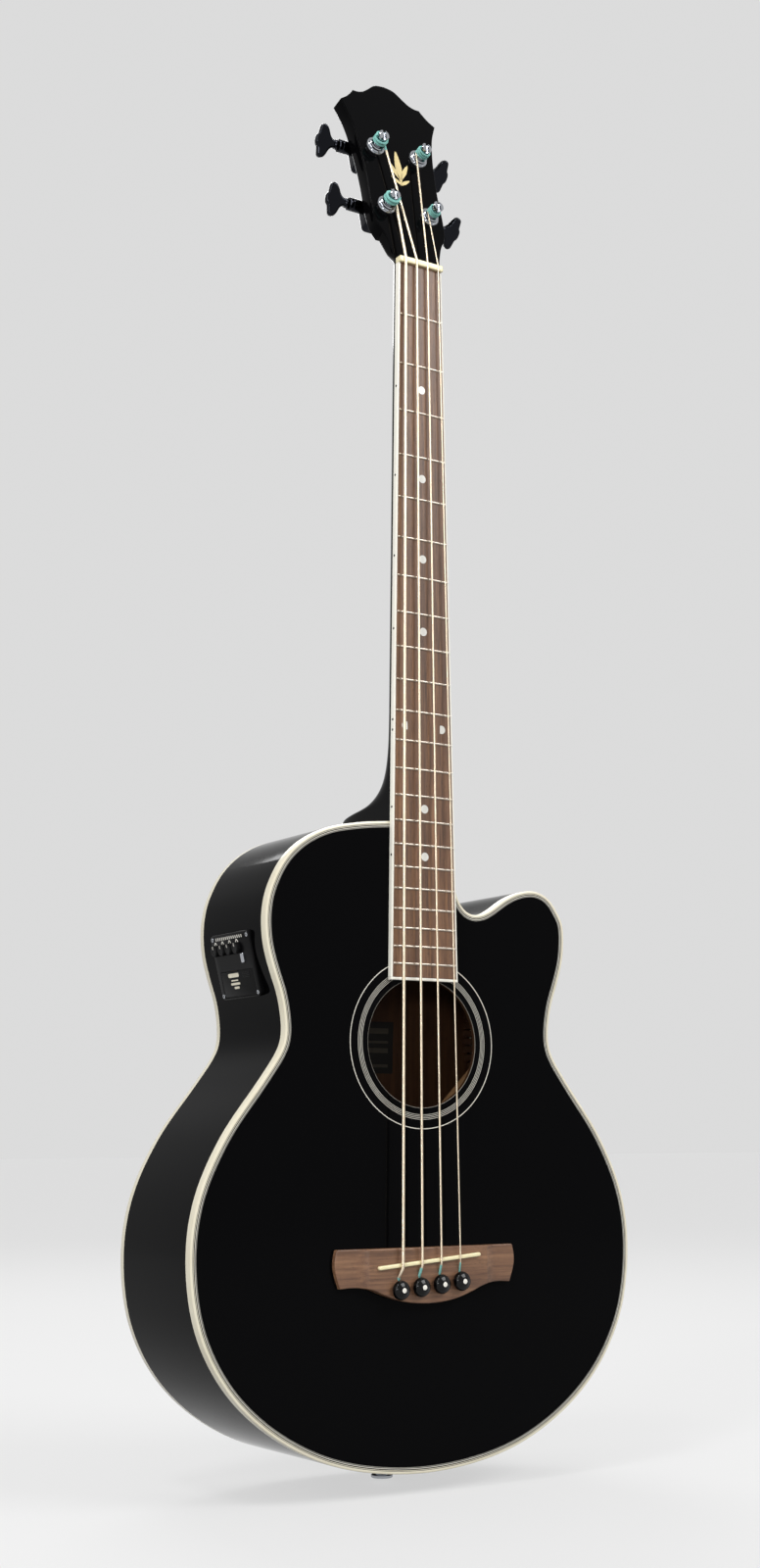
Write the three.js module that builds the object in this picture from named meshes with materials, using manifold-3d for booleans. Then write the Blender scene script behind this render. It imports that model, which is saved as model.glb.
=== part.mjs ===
// Acoustic bass guitar with a single cutaway, in millimetres.
// +Z runs up along the neck, the front faces -Y, and +X is the treble side seen from the front.
// Inside the group every piece is placed from the saddle line on the soundboard's front plane. The whole
// group then moves so that the origin lies where a hanger's yoke carries the neck under the headstock.
import * as THREE from "three";
import { mergeVertices } from "three/addons/utils/BufferGeometryUtils.js";
import Module from "manifold-3d";

const wasm = await Module();
wasm.setup();

// Sizes shared by the whole guitar
const scaleLength = 813;
const fretCount = 22;
const seat = 0.3; // gap where a piece sits in a cut made for it
const glue = 0.1; // glue line between two fixed faces
const overrun = 3; // how far a cut runs past the face that it leaves
const weldDistance = 0.001; // vertices nearer than this are one

const body = {
  length: 497,
  lowerBout: 403,
  waist: 247,
  upperBout: 283,
  cutaway: 71, // from the neck joint down to the bottom of the cutaway
  tailDepth: 124.7,
  jointDepth: 101.7,
  arch: 3.5, // how far the back bows out at its middle
  top: 3,
  back: 2.7,
  rim: 3,
};
const outlineToleranceShare = 0.0024; // how far the outline's corners may lie off its curve, of the length
const saddleShare = 0.3139; // the saddle line's place in the body's length, from the tail
const frontBinding = { height: 7 };
const backBinding = { height: 6 };
const soundhole = { radius: 50, underBoard: 1.8 }; // the board reaches over the hole by that much
const lining = { width: 7, foot: 3.2, height: 13 };
const neckBlock = { halfWidth: 37, length: 50 };
const tailBlock = { halfWidth: 45, length: 20 };
const brace = { width: 8, height: 12, endHeight: 4, endLength: 34, endGap: 1, steps: 6 };
const xBrace = { spread: THREE.MathUtils.degToRad(45) };
const crossingShare = 0.752; // where the X crosses, from the saddle line to the soundhole's edge
const toneBar = { height: 9, halfLength: 83, aside: 6, tilt: THREE.MathUtils.degToRad(-20.4) };
const toneBarShare = 0.49; // how far down the tone bar's middle lies from the saddle line to the tail
const bridgePlate = { armGap: 4.3, above: 10, below: 33, thickness: 2.8 };
// Places of the back's braces in the body's length, from the tail
const backBraceShares = { lower: 0.203, middle: 0.479, upper: 0.807 };

const board = {
  nutWidth: 43,
  endWidth: 63.4,
  pastLastFret: 12.95, // from the last fret to the end at the soundhole
  thickness: 5.4,
  radius: 350,
  rise: 0.8, // how far the neck leans forward from the board's end to the nut
  binding: 1.6,
  endBinding: 2.2,
  arcSteps: 3,
};
const fret = { width: 2.3, crown: 0.9, height: 1, sunk: 0.4 };
const neck = { nutDepth: 15.2, jointDepth: 18.4, heelDepth: 98, heelLength: 89, round: 2.3, square: 6 };
const heelTaperShare = 0.24;
const tenon = { halfWidth: 15, front: 14, back: 82, length: 14 };
const nut = { thickness: 5, proud: 2.6, action: 0.5, spacing: 11 };
const rod = { halfWidth: 3, depth: 8.6, aboveJoint: 4, belowNut: 27 };
const rodNut = { radius: 3.6, depth: 8, length: 17, sides: 6 };
const wrench = { radius: 4.3 }; // the way that a wrench takes from the soundhole to the rod's nut

const head = {
  tilt: THREE.MathUtils.degToRad(15.7),
  face: 2.5, // how far the face stands in front of the soundboard's plane at the nut
  behindNut: 3, // from the nut's front face to where the tilted face starts
  length: 195,
  halfWidth: 48.5,
  thickness: 14,
  veneer: 1.5,
  start: 3.1,
};
const tuner = { x: 21.8, holeRadius: 5.3 };
const tunerShares = { low: 0.2923, high: 0.618 }; // places in the headstock's length
const bushing = { flangeRadius: 9, flange: 1.6, radius: 7, height: 4.6, sleeve: 5, sleeveLength: 10 };
const post = { radius: 3.8, waist: 4, top: 4.8, height: 16.4, cap: 1.8, slot: 2.6, slotDepth: 2.4 };
const gear = {
  teeth: 20,
  behind: 6.6, // from the headstock's back to the wheel's middle
  pitchRadius: 7.6,
  addendum: 0.65,
  tooth: 0.75,
  halfWidth: 2,
  rootGap: 0.15,
};
const worm = { pitchRadius: 3.1, halfLength: 7.6, turns: 2.5, stepsPerTurn: 8, sunk: 0.3 };
const housing = { halfWidth: 11.4, below: 11.4, above: 16.4, depth: 12.4, corner: 4, wall: 1.6, boss: 5.6 };
const shaft = { radius: 2.9, bossEnd: 24, keyStart: 25.6 };
const button = { length: 19, halfSpan: 14.3, thickness: 6.4, bevel: 1.2, stemRadius: 3.9, stemLength: 2.6 };
const wormSide = gear.pitchRadius + worm.pitchRadius;
const gearDepth = head.thickness + gear.behind; // how far behind the face the worm and wheel run

const bridge = {
  halfLength: 82.5,
  above: 11,
  wingBelow: 17.6,
  belly: 31,
  height: 7.5,
  wingHeight: 4.2,
  scoopStart: 54,
  scoopLength: 11,
};
const saddle = {
  halfLength: 47,
  width: 3,
  height: 2.5,
  floor: 1.6,
  pickup: 1.1,
  slope: 0.083,
  forward: 0.5,
  spacing: 17.8,
};
const pin = {
  pitch: 18.6,
  below: 17.6,
  headRadius: 6.3,
  dotRadius: 2.1,
  height: 8,
  shank: 2.8,
  tip: 1.9,
  length: 20,
};
const gauges = { e: 2.6, a: 2.1, d: 1.65, g: 1.2 };
const fixings = [
  { name: "e", side: -1, row: "low", turns: 2 },
  { name: "a", side: -1, row: "high", turns: 2.5 },
  { name: "d", side: 1, row: "high", turns: 3 },
  { name: "g", side: 1, row: "low", turns: 3.5 },
];
const winding = { clear: 0.5, sides: 6, stepsPerTurn: 12 };
const stringEnd = { setback: 4.9, ballRadius: 2, ballLength: 4 };

const preamp = {
  depth: 53, // from the soundboard's front plane to the panel's middle
  face: 4.2, // how far the panel's face stands off the chord of the side behind it
  width: 62,
  length: 51.5,
  corner: 4,
  skirt: 4, // how far the panel reaches in before it is cut to the side
  chord: 53,
};
const preampShare = 0.7696; // the panel's place in the body's length, from the tail
const preampBox = { width: 54, length: 45.4, depth: 28.5, corner: 2 };
const controlRoom = { width: 52.4, bottom: -1, top: 21, depth: 8 };
const knob = { radius: 4.7, height: 4.2, pitch: 11.5, row: 13.5, shift: -7, shaft: 1.6, reach: 6, sides: 12 };
const pushButton = { width: 4.4, length: 7.6, proud: 1.3, across: 15.2, row: 5.4, reach: 2, corner: 1 };
const door = { width: 51, length: 20, thickness: 2, bottom: -24, clear: 0.35, corner: 1 };
const battery = { length: 48.5, height: 17.5, depth: 25.8, corner: 2, row: -12.6, front: 0.4 };

const jack = { barrel: 5.9, bore: 3.4, inner: 26, washer: 9, washerDepth: 1.5, neck: 6.6 };
const jackEnd = { radius: 8.6, proud: 11, lip: 2.4, centre: 62 };
const hanger = { above: 14, depth: 7 }; // the yoke's place above the nut and behind the front plane

// Outline points as shares: across in shares of half the bout's width, up in shares of the body's length
const lowerShares = [
  [0.337, 0.016],
  [0.605, 0.06],
  [0.819, 0.129],
  [0.953, 0.217],
  [1, 0.318],
  [0.973, 0.412],
  [0.868, 0.503],
  [0.71, 0.588],
];
const waistShares = [
  [1.025, 0.636],
  [1, 0.668],
];
const upperShares = [
  [0.8975, 0.7145],
  [0.943, 0.7505],
  [0.9866, 0.791],
  [1, 0.829],
  [0.9915, 0.857],
];
const shoulderShares = [
  [0.967, 0.883],
  [0.893, 0.9235],
  [0.774, 0.957],
  [0.608, 0.981],
  [0.396, 0.994],
];
// Across in shares of half the upper bout, down in shares of the cutaway's depth
const hornShares = [
  [0.965, 0.923],
  [0.915, 0.775],
  [0.845, 0.686],
  [0.76, 0.662],
  [0.664, 0.704],
  [0.572, 0.789],
  [0.495, 0.894],
  [0.424, 0.972],
  [0.36, 0.996],
  [0.304, 0.961],
  [0.258, 0.852],
  [0.233, 0.718],
  [0.2155, 0.465],
];
// Along in shares of the heel's length from the joint, deep in shares of the heel's extra depth
const heelShares = [
  [0, 1],
  [0.079, 0.988],
  [0.14, 0.94],
  [0.166, 0.8],
  [0.18, 0.65],
  [0.208, 0.46],
  [0.264, 0.297],
  [0.348, 0.171],
  [0.46, 0.09],
  [0.596, 0.04],
  [0.753, 0.0113],
  [1, 0],
];
// Across in shares of the headstock's half width, up in shares of its length
const headSideShares = [
  [0.46, 0],
  [0.49, 0.05],
  [0.585, 0.13],
  [0.71, 0.195],
  [0.745, 0.29],
  [0.74, 0.42],
  [0.757, 0.53],
  [0.8, 0.65],
  [0.875, 0.76],
  [1, 0.849],
];
const headTopShares = [
  [1, 0.849],
  [0.87, 0.873],
  [0.765, 0.902],
  [0.71, 0.921],
];
const headCrownShares = [
  [0.71, 0.921],
  [0.6, 0.922],
  [0.49, 0.932],
  [0.38, 0.953],
  [0.2, 0.99],
  [0, 1],
];
// Across in shares of the bridge's half length, down in shares of the belly
const bellyShares = [
  [0.945, 0.568],
  [0.83, 0.553],
  [0.735, 0.565],
  [0.62, 0.622],
  [0.49, 0.755],
  [0.335, 0.89],
  [0.165, 0.974],
  [0, 1],
];
// Out in shares of the button's length, across in shares of its half span
const buttonShares = [
  [0, 0.25],
  [0.16, 0.26],
  [0.3, 0.42],
  [0.43, 0.76],
  [0.56, 0.96],
  [0.7, 1],
  [0.82, 0.88],
  [0.86, 0.62],
  [0.89, 0.4],
  [0.96, 0.28],
  [1, 0.12],
];
const arcSegments = 12;
const smallArcSegments = 8;
const holeSegments = 7;
const axisCount = 3;

// Where things lie along the neck, above the saddle line
const tail = saddleShare * body.length;
const jointZ = body.length - tail;
const upBody = (share) => share * body.length - tail;
const fretZ = (n) => scaleLength * 2 ** (-n / 12);
const boardEnd = fretZ(fretCount) - board.pastLastFret;
const boardLength = scaleLength - boardEnd;
const holeZ = boardEnd - soundhole.radius + soundhole.underBoard;
const rodStart = jointZ + rod.aboveJoint;
const rodEnd = scaleLength - rod.belowNut;
const headZ = scaleLength + head.behindNut;
const boardHalf = (z) =>
  THREE.MathUtils.mapLinear(z, boardEnd, scaleLength, board.endWidth, board.nutWidth) / 2;
const boardUnder = (z) => -glue - (board.rise * (z - boardEnd)) / boardLength;
const arcDrop = (x) => (x * x) / (2 * board.radius);
const boardTop = (x, z) => boardUnder(z) - board.thickness + arcDrop(x);
const depthAt = (z) => THREE.MathUtils.mapLinear(z, -tail, jointZ, body.tailDepth, body.jointDepth);
const backY = (x, z) => depthAt(z) + body.arch * (1 - (x / (body.lowerBout / 2)) ** 2);

// Geometry helpers

const v3 = (x, y, z) => new THREE.Vector3(x, y, z);

function signedVolume(points, faces) {
  let sum = 0;
  const cross = v3(0, 0, 0);
  for (let i = 0; i < faces.length; i += axisCount) {
    const [a, b, c] = [points[faces[i]], points[faces[i + 1]], points[faces[i + 2]]];
    sum += cross.crossVectors(a, b).dot(c);
  }
  return sum;
}

// A closed surface from points and triangles, turned so that its faces point out
function closed(points, faces) {
  const geometry = new THREE.BufferGeometry().setFromPoints(points);
  geometry.setIndex(signedVolume(points, faces) < 0 ? faces.reverse() : faces);
  return geometry;
}

// A surface through sections of equal point counts: joined end to start, or closed by two fans about hubs
function skin(sections, loop = false, hubs = []) {
  const count = sections[0].length;
  const points = sections.flat();
  const faces = [];
  const at = (s, i) => (s % sections.length) * count + (i % count);
  const spans = loop ? sections.length : sections.length - 1;
  for (let s = 0; s < spans; s++)
    for (let i = 0; i < count; i++) {
      faces.push(at(s, i), at(s, i + 1), at(s + 1, i + 1));
      faces.push(at(s, i), at(s + 1, i + 1), at(s + 1, i));
    }
  if (loop) return closed(points, faces);
  const last = sections.length - 1;
  for (const [s, turned] of [[0, true], [last, false]]) {
    const middle = v3(0, 0, 0);
    sections[s].forEach((p) => middle.addScaledVector(p, 1 / count));
    const hub = points.push(hubs[Math.min(s, 1)] ?? middle) - 1;
    for (let i = 0; i < count; i++)
      faces.push(hub, ...(turned ? [at(s, i + 1), at(s, i)] : [at(s, i), at(s, i + 1)]));
  }
  return closed(points, faces);
}

function solid(geometry) {
  const bare = new THREE.BufferGeometry();
  bare.setAttribute("position", geometry.getAttribute("position"));
  if (geometry.index) bare.setIndex(geometry.index);
  const merged = mergeVertices(bare, weldDistance);
  return new wasm.Manifold(
    new wasm.Mesh({
      numProp: axisCount,
      vertProperties: new Float32Array(merged.attributes.position.array),
      triVerts: new Uint32Array(merged.index.array),
    }),
  );
}

function geometryOf(shape) {
  const mesh = shape.getMesh();
  const geometry = new THREE.BufferGeometry();
  geometry.setAttribute("position", new THREE.BufferAttribute(mesh.vertProperties, axisCount));
  geometry.setIndex(new THREE.BufferAttribute(mesh.triVerts, 1));
  return geometry;
}

const cut = (first, ...tools) => tools.reduce((left, tool) => left.subtract(tool), first);
const join = (first, ...more) => more.reduce((left, piece) => left.add(piece), first);

function box(x0, x1, y0, y1, z0, z1) {
  const geometry = new THREE.BoxGeometry(x1 - x0, y1 - y0, z1 - z0);
  return geometry.translate((x0 + x1) / 2, (y0 + y1) / 2, (z0 + z1) / 2);
}

function rodAlongY(radius, y0, y1, x, z, sides = arcSegments) {
  return new THREE.CylinderGeometry(radius, radius, y1 - y0, sides).translate(x, (y0 + y1) / 2, z);
}

function rodAlongX(radius, x0, x1, y, z, sides = arcSegments) {
  const geometry = new THREE.CylinderGeometry(radius, radius, x1 - x0, sides);
  return geometry.rotateZ(Math.PI / 2).translate((x0 + x1) / 2, y, z);
}

function rodAlongZ(radius, z0, z1, x, y, sides = arcSegments) {
  const geometry = new THREE.CylinderGeometry(radius, radius, z1 - z0, sides);
  return geometry.rotateX(Math.PI / 2).translate(x, y, (z0 + z1) / 2);
}

// A flat shape drawn in x and z, extruded along y
function slab(shape, y0, y1, bevel = 0, curveSegments = 4) {
  const geometry = new THREE.ExtrudeGeometry(shape, {
    depth: y1 - y0 - 2 * bevel,
    bevelEnabled: bevel > 0,
    bevelSize: bevel,
    bevelOffset: -bevel,
    bevelThickness: bevel,
    bevelSegments: 1,
    curveSegments,
    steps: 1,
  });
  return geometry.rotateX(Math.PI / 2).translate(0, y1 - bevel, 0);
}

// A rectangle with round corners as a shape
function roundedShape(x0, x1, z0, z1, radius) {
  const shape = new THREE.Shape();
  const quarter = Math.PI / 2;
  shape.absarc(x1 - radius, z0 + radius, radius, -quarter, 0);
  shape.absarc(x1 - radius, z1 - radius, radius, 0, quarter);
  shape.absarc(x0 + radius, z1 - radius, radius, quarter, 2 * quarter);
  shape.absarc(x0 + radius, z0 + radius, radius, 2 * quarter, axisCount * quarter);
  return shape;
}

// A round tube of one or more radii through points, as one closed surface
function tube(path, radii, sides = winding.sides) {
  const radiusAt = (i) => (Array.isArray(radii) ? radii[i] : radii);
  const normal = v3(1, 0, 0);
  const sections = path.map((point, i) => {
    const before = path[Math.max(i - 1, 0)];
    const after = path[Math.min(i + 1, path.length - 1)];
    const along = after.clone().sub(before).normalize();
    normal.addScaledVector(along, -normal.dot(along)).normalize();
    const side = v3(0, 0, 0).crossVectors(along, normal);
    return Array.from({ length: sides }, (_, k) => {
      const angle = (2 * Math.PI * k) / sides;
      const spread = normal.clone().multiplyScalar(Math.cos(angle)).addScaledVector(side, Math.sin(angle));
      return point.clone().addScaledVector(spread, radiusAt(i));
    });
  });
  return skin(sections);
}

// Materials

const paint = (color, roughness, metalness = 0) =>
  new THREE.MeshStandardMaterial({ color, roughness, metalness });
const blackLacquer = paint(0x0a0a0b, 0.12);
const ivory = paint(0xe9e3cf, 0.35);
const rosewood = paint(0x4a3226, 0.55);
const spruce = paint(0xc9a56c, 0.7);
const mahogany = paint(0x5a2f1b, 0.65);
const chrome = paint(0xc8ccd0, 0.15, 1);
const steel = paint(0x9a9da0, 0.35, 1);
const bronze = paint(0xc9a878, 0.35, 0.9);
const blackPlastic = paint(0x121213, 0.4);
const foil = paint(0x8a8f95, 0.4, 0.6);

const guitar = new THREE.Group();
const headGroup = new THREE.Group();
headGroup.position.set(0, -head.face, headZ);
headGroup.rotation.x = -head.tilt;
guitar.add(headGroup);

function add(name, shape, material, parent = guitar) {
  const geometry = shape instanceof THREE.BufferGeometry ? shape : geometryOf(shape);
  const mesh = new THREE.Mesh(geometry, material);
  mesh.name = name;
  parent.add(mesh);
  return mesh;
}

// The body's outline

const across = (rows, width, side) =>
  rows.map(([share, up]) => new THREE.Vector2((side * share * width) / 2, upBody(up)));

function outlineControls() {
  const corner = boardHalf(jointZ);
  const horn = hornShares.map(
    ([share, down]) => new THREE.Vector2((share * body.upperBout) / 2, jointZ - down * body.cutaway),
  );
  const treble = [
    ...across(lowerShares, body.lowerBout, 1),
    ...across(waistShares, body.waist, 1),
    ...across(upperShares, body.upperBout, 1),
    ...horn,
    new THREE.Vector2(corner, jointZ),
  ];
  const bass = [
    ...across(lowerShares, body.lowerBout, -1),
    ...across(waistShares, body.waist, -1),
    ...across(upperShares, body.upperBout, -1),
    ...across(shoulderShares, body.upperBout, -1),
    new THREE.Vector2(-corner, jointZ),
  ];
  return [...treble.reverse(), new THREE.Vector2(0, -tail), ...bass];
}

// Keeps only the points that a curve needs to stay within the tolerance
function thin(points, tolerance) {
  const [start, end] = [points[0], points[points.length - 1]];
  const run = end.clone().sub(start);
  let [worst, index] = [0, 0];
  points.forEach((p, i) => {
    const off = p.clone().sub(start);
    const gap = Math.abs(run.cross(off)) / run.length();
    if (gap > worst) [worst, index] = [gap, i];
  });
  if (worst <= tolerance) return [start, end];
  return [...thin(points.slice(0, index + 1), tolerance), ...thin(points.slice(index), tolerance).slice(1)];
}

const fineSteps = 16;
const controls = outlineControls();
const outlineCurve = new THREE.SplineCurve(controls).getPoints(controls.length * fineSteps);
const outline = thin(outlineCurve, outlineToleranceShare * body.length);

// The outline moved inwards by a distance
function inset(distance) {
  const count = outline.length;
  const turn = THREE.ShapeUtils.area(outline) > 0 ? 1 : -1;
  return outline.map((p, i) => {
    const before = outline[(i + count - 1) % count];
    const after = outline[(i + 1) % count];
    const into = p.clone().sub(before).normalize();
    const out = after.clone().sub(p).normalize();
    const n1 = new THREE.Vector2(-into.y, into.x).multiplyScalar(turn);
    const n2 = new THREE.Vector2(-out.y, out.x).multiplyScalar(turn);
    const reach = distance / (1 + n1.dot(n2));
    return p.clone().addScaledVector(n1.add(n2), reach);
  });
}

const flat = (y) => () => y;
const lift = (points, surface) => points.map((p) => v3(p.x, surface(p.x, p.y), p.y));

// A band that follows the outline between two insets and two surfaces
function band(outer, inner, front, back, innerBack = inner) {
  const corners = [
    lift(inset(outer), front),
    lift(inset(inner), front),
    lift(inset(innerBack), back),
    lift(inset(outer), back),
  ];
  return skin(corners[0].map((_, i) => corners.map((ring) => ring[i])), true);
}

// Rings that the arch of the back is built on, as shares of the way from the body's middle to its edge
const plateRingShares = [0.6, 1];
const bodyMiddle = new THREE.Vector2(0, holeZ / 2);
const scaled = (ring, share) => ring.map((p) => bodyMiddle.clone().lerp(p, share));

// Everything inside the rim from a flat front to the arch of the back
function interior(distance, front, back) {
  const ring = inset(distance);
  const arch = plateRingShares.map((share) => lift(scaled(ring, share), back));
  const hubs = [...lift([bodyMiddle], front), ...lift([bodyMiddle], back)];
  return skin([lift(ring, front), ...arch.reverse()], false, hubs);
}

const plateInset = body.rim + glue;
const underTop = body.top + glue;
const overBack = (x, z) => backY(x, z) - body.back - glue;

function soundboard() {
  const ring = inset(plateInset);
  const hole = ring.map((p) => {
    const spoke = new THREE.Vector2(p.x, p.y - holeZ).setLength(soundhole.radius);
    return new THREE.Vector2(spoke.x, spoke.y + holeZ);
  });
  const [front, under] = [flat(0), flat(body.top)];
  const corners = [lift(ring, front), lift(hole, front), lift(hole, under), lift(ring, under)];
  const plate = skin(ring.map((_, i) => corners.map((points) => points[i])), true);
  return cut(solid(plate), ...pinHoles(-overrun, body.top + overrun));
}

function backPlate() {
  const inside = (x, z) => backY(x, z) - body.back;
  const ring = inset(plateInset);
  const inner = plateRingShares.map((share) => lift(scaled(ring, share), inside));
  const outer = plateRingShares.map((share) => lift(scaled(ring, share), backY));
  const hubs = [...lift([bodyMiddle], inside), ...lift([bodyMiddle], backY)];
  return skin([...inner, ...outer.reverse()], false, hubs);
}

const rimFront = frontBinding.height + glue;
const rimBack = (x, z) => backY(x, z) - backBinding.height - glue;

function rim() {
  const wall = solid(band(0, body.rim, flat(rimFront), rimBack));
  return cut(wall, solid(mortise()), preampOpening(), solid(jackHole()), throughRim());
}

function linings() {
  const [wall, foot, rimSide] = [plateInset + lining.width, plateInset + lining.foot, plateInset];
  const front = band(rimSide, wall, flat(underTop), flat(underTop + lining.height), foot);
  const back = band(rimSide, wall, overBack, (x, z) => overBack(x, z) - lining.height, foot);
  return [front, back];
}

// The space that both linings take, for notching what stands against the rim
function liningSpace() {
  const reach = plateInset + lining.width + seat;
  const high = underTop + lining.height + seat;
  const low = (x, z) => overBack(x, z) - lining.height - seat;
  return [
    solid(band(0, reach, flat(-overrun), flat(high))),
    solid(band(0, reach, low, (x, z) => backY(x, z) + overrun)),
  ];
}

const tenonBox = (gap) =>
  box(
    -tenon.halfWidth - gap,
    tenon.halfWidth + gap,
    tenon.front - gap,
    tenon.back + gap,
    jointZ - tenon.length - gap,
    jointZ + overrun,
  );
const mortise = () => tenonBox(seat);
const jackHole = () =>
  rodAlongZ(jack.barrel + seat, -tail - overrun, -tail + jack.inner + overrun, 0, jackEnd.centre);
const wrenchPath = (z0, z1) => solid(rodAlongZ(wrench.radius, z0, z1, 0, rodNut.depth));
const throughRim = () => wrenchPath(jointZ - neckBlock.length - overrun, jointZ + overrun);

function blocks() {
  const room = solid(interior(plateInset, flat(underTop), overBack));
  const deep = depthAt(-tail) + body.arch + overrun;
  const neckBox = box(
    -neckBlock.halfWidth,
    neckBlock.halfWidth,
    0,
    deep,
    jointZ - neckBlock.length,
    jointZ,
  );
  const tailBox = box(
    -tailBlock.halfWidth,
    tailBlock.halfWidth,
    0,
    deep,
    -tail,
    -tail + body.rim + tailBlock.length,
  );
  return [
    cut(room.intersect(solid(neckBox)), ...liningSpace(), solid(mortise()), throughRim()),
    cut(room.intersect(solid(tailBox)), ...liningSpace(), solid(jackHole())),
  ];
}

// A brace from one point to another, standing on a surface, with thinner ends
function bar(x0, z0, x1, z1, surface, upright, width = brace.width, height = brace.height) {
  const start = new THREE.Vector2(x0, z0);
  const end = new THREE.Vector2(x1, z1);
  const length = start.distanceTo(end);
  const side = end.clone().sub(start).normalize().rotateAround(new THREE.Vector2(), Math.PI / 2);
  const inner = Array.from({ length: brace.steps - 1 }, (_, i) =>
    THREE.MathUtils.mapLinear(i, 0, brace.steps - 2, brace.endLength, length - brace.endLength),
  );
  const stations = [0, ...inner, length];
  return skin(
    stations.map((run, i) => {
      const middle = start.clone().lerp(end, run / length);
      const tall = i === 0 || i === stations.length - 1 ? brace.endHeight : height;
      const left = middle.clone().addScaledVector(side, width / 2);
      const right = middle.clone().addScaledVector(side, -width / 2);
      const foot = (p) => v3(p.x, surface(p.x, p.y), p.y);
      const crest = (p) => v3(p.x, surface(p.x, p.y) + upright * tall, p.y);
      return [foot(left), foot(right), crest(right), crest(left)];
    }),
  );
}

const topSurface = flat(underTop);

// How far a bar of a width runs from a point along a direction before it would meet the linings
function runTo(x, z, along, width) {
  const ring = inset(plateInset + lining.width + seat);
  const side = new THREE.Vector2(-along.y, along.x);
  let least = Infinity;
  for (const edge of [-width / 2, width / 2]) {
    const start = new THREE.Vector2(x, z).addScaledVector(side, edge);
    ring.forEach((a, i) => {
      const span = ring[(i + 1) % ring.length].clone().sub(a);
      const offset = a.clone().sub(start);
      const run = offset.cross(span) / along.cross(span);
      const share = offset.cross(along) / along.cross(span);
      if (run > 0 && share >= 0 && share <= 1) least = Math.min(least, run);
    });
  }
  return least - brace.endGap;
}

// Both ends of a bar through a point at an angle, from lining to lining
function barEnds(x, z, angle) {
  return [0, Math.PI].flatMap((turn) => {
    const along = new THREE.Vector2(Math.cos(angle + turn), Math.sin(angle + turn));
    const run = runTo(x, z, along, brace.width);
    return [x + run * along.x, z + run * along.y];
  });
}

const crossingZ = crossingShare * (holeZ - soundhole.radius);
const xBarEnds = (side) => barEnds(0, crossingZ, Math.PI / 2 - side * xBrace.spread);

// The two bars of the X, halved into each other where they cross
function xBars() {
  const halfway = underTop + brace.height / 2;
  const wide = brace.width + 2 * seat;
  return [-1, 1].map((side) => {
    const own = solid(bar(...xBarEnds(side), topSurface, 1));
    const tall = brace.height + underTop + overrun;
    const other = solid(bar(...xBarEnds(-side), flat(-overrun), 1, wide, tall + overrun));
    const [low, high] = side < 0 ? [-overrun, halfway + seat] : [halfway - seat, tall];
    const reach = 2 * wide;
    const zone = solid(box(-reach, reach, low, high, crossingZ - reach, crossingZ + reach));
    return cut(own, other.intersect(zone));
  });
}

// The brace halfway between the soundhole and the neck block
function upperBar() {
  const z = (holeZ + soundhole.radius + jointZ - neckBlock.length) / 2;
  const raw = solid(bar(...barEnds(0, z, 0), topSurface, 1));
  return cut(raw, wrenchPath(z - brace.width, z + brace.width));
}

function toneBarShape() {
  const run = new THREE.Vector2(toneBar.halfLength, 0).rotateAround(new THREE.Vector2(), toneBar.tilt);
  const [x, z] = [-toneBar.aside, -toneBarShare * tail];
  return bar(x - run.x, z - run.y, x + run.x, z + run.y, topSurface, 1, brace.width, toneBar.height);
}

// A brace across the back, standing on its arch
function backBar(share) {
  const z = upBody(share);
  const clear = solid(interior(plateInset + lining.width + seat, flat(underTop), overBack));
  return solid(bar(...barEnds(0, z, 0), backY, -1)).intersect(clear);
}

function bodyPieces() {
  const [frontLining, backLining] = linings();
  const [blockAtNeck, blockAtTail] = blocks();
  const [xBass, xTreble] = xBars();
  const backEdge = (x, z) => backY(x, z) - backBinding.height;
  add("soundboard", soundboard(), blackLacquer);
  add("back_plate", backPlate(), blackLacquer);
  add("side_rim", rim(), blackLacquer);
  const bandInFront = band(0, body.rim, flat(0), flat(frontBinding.height));
  add("front_binding", cut(solid(bandInFront), throughRim()), ivory);
  add("back_binding", band(0, body.rim, backEdge, backY), ivory);
  add("front_lining", cut(solid(frontLining), throughRim(), solid(mortise())), spruce);
  add("back_lining", backLining, spruce);
  add("neck_block", blockAtNeck, mahogany);
  add("tail_block", blockAtTail, mahogany);
  add("x_brace_bass", xBass, spruce);
  add("x_brace_treble", xTreble, spruce);
  add("upper_brace", upperBar(), spruce);
  add("tone_bar", toneBarShape(), spruce);
  add("bridge_plate", bridgePlateSolid(), spruce);
  add("back_brace_lower", backBar(backBraceShares.lower), spruce);
  add("back_brace_middle", backBar(backBraceShares.middle), spruce);
  add("back_brace_upper", backBar(backBraceShares.upper), spruce);
}

// Neck and fretboard

// One half-round section of the neck, from its flat front face back to its deepest line
function neckSection(z, halfWidth, front, depth, squareness, taper = 0) {
  const count = smallArcSegments + 2;
  return Array.from({ length: count + 1 }, (_, i) => {
    const angle = (Math.PI * i) / count;
    const power = 2 / squareness;
    const wide = Math.sign(Math.cos(angle)) * Math.abs(Math.cos(angle)) ** power;
    const deep = Math.sin(angle) ** power;
    return v3(halfWidth * wide * (1 - taper * deep), front + depth * deep, z);
  });
}

const neckDepth = (z) =>
  THREE.MathUtils.mapLinear(z, jointZ + neck.heelLength, scaleLength, neck.jointDepth, neck.nutDepth);

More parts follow.
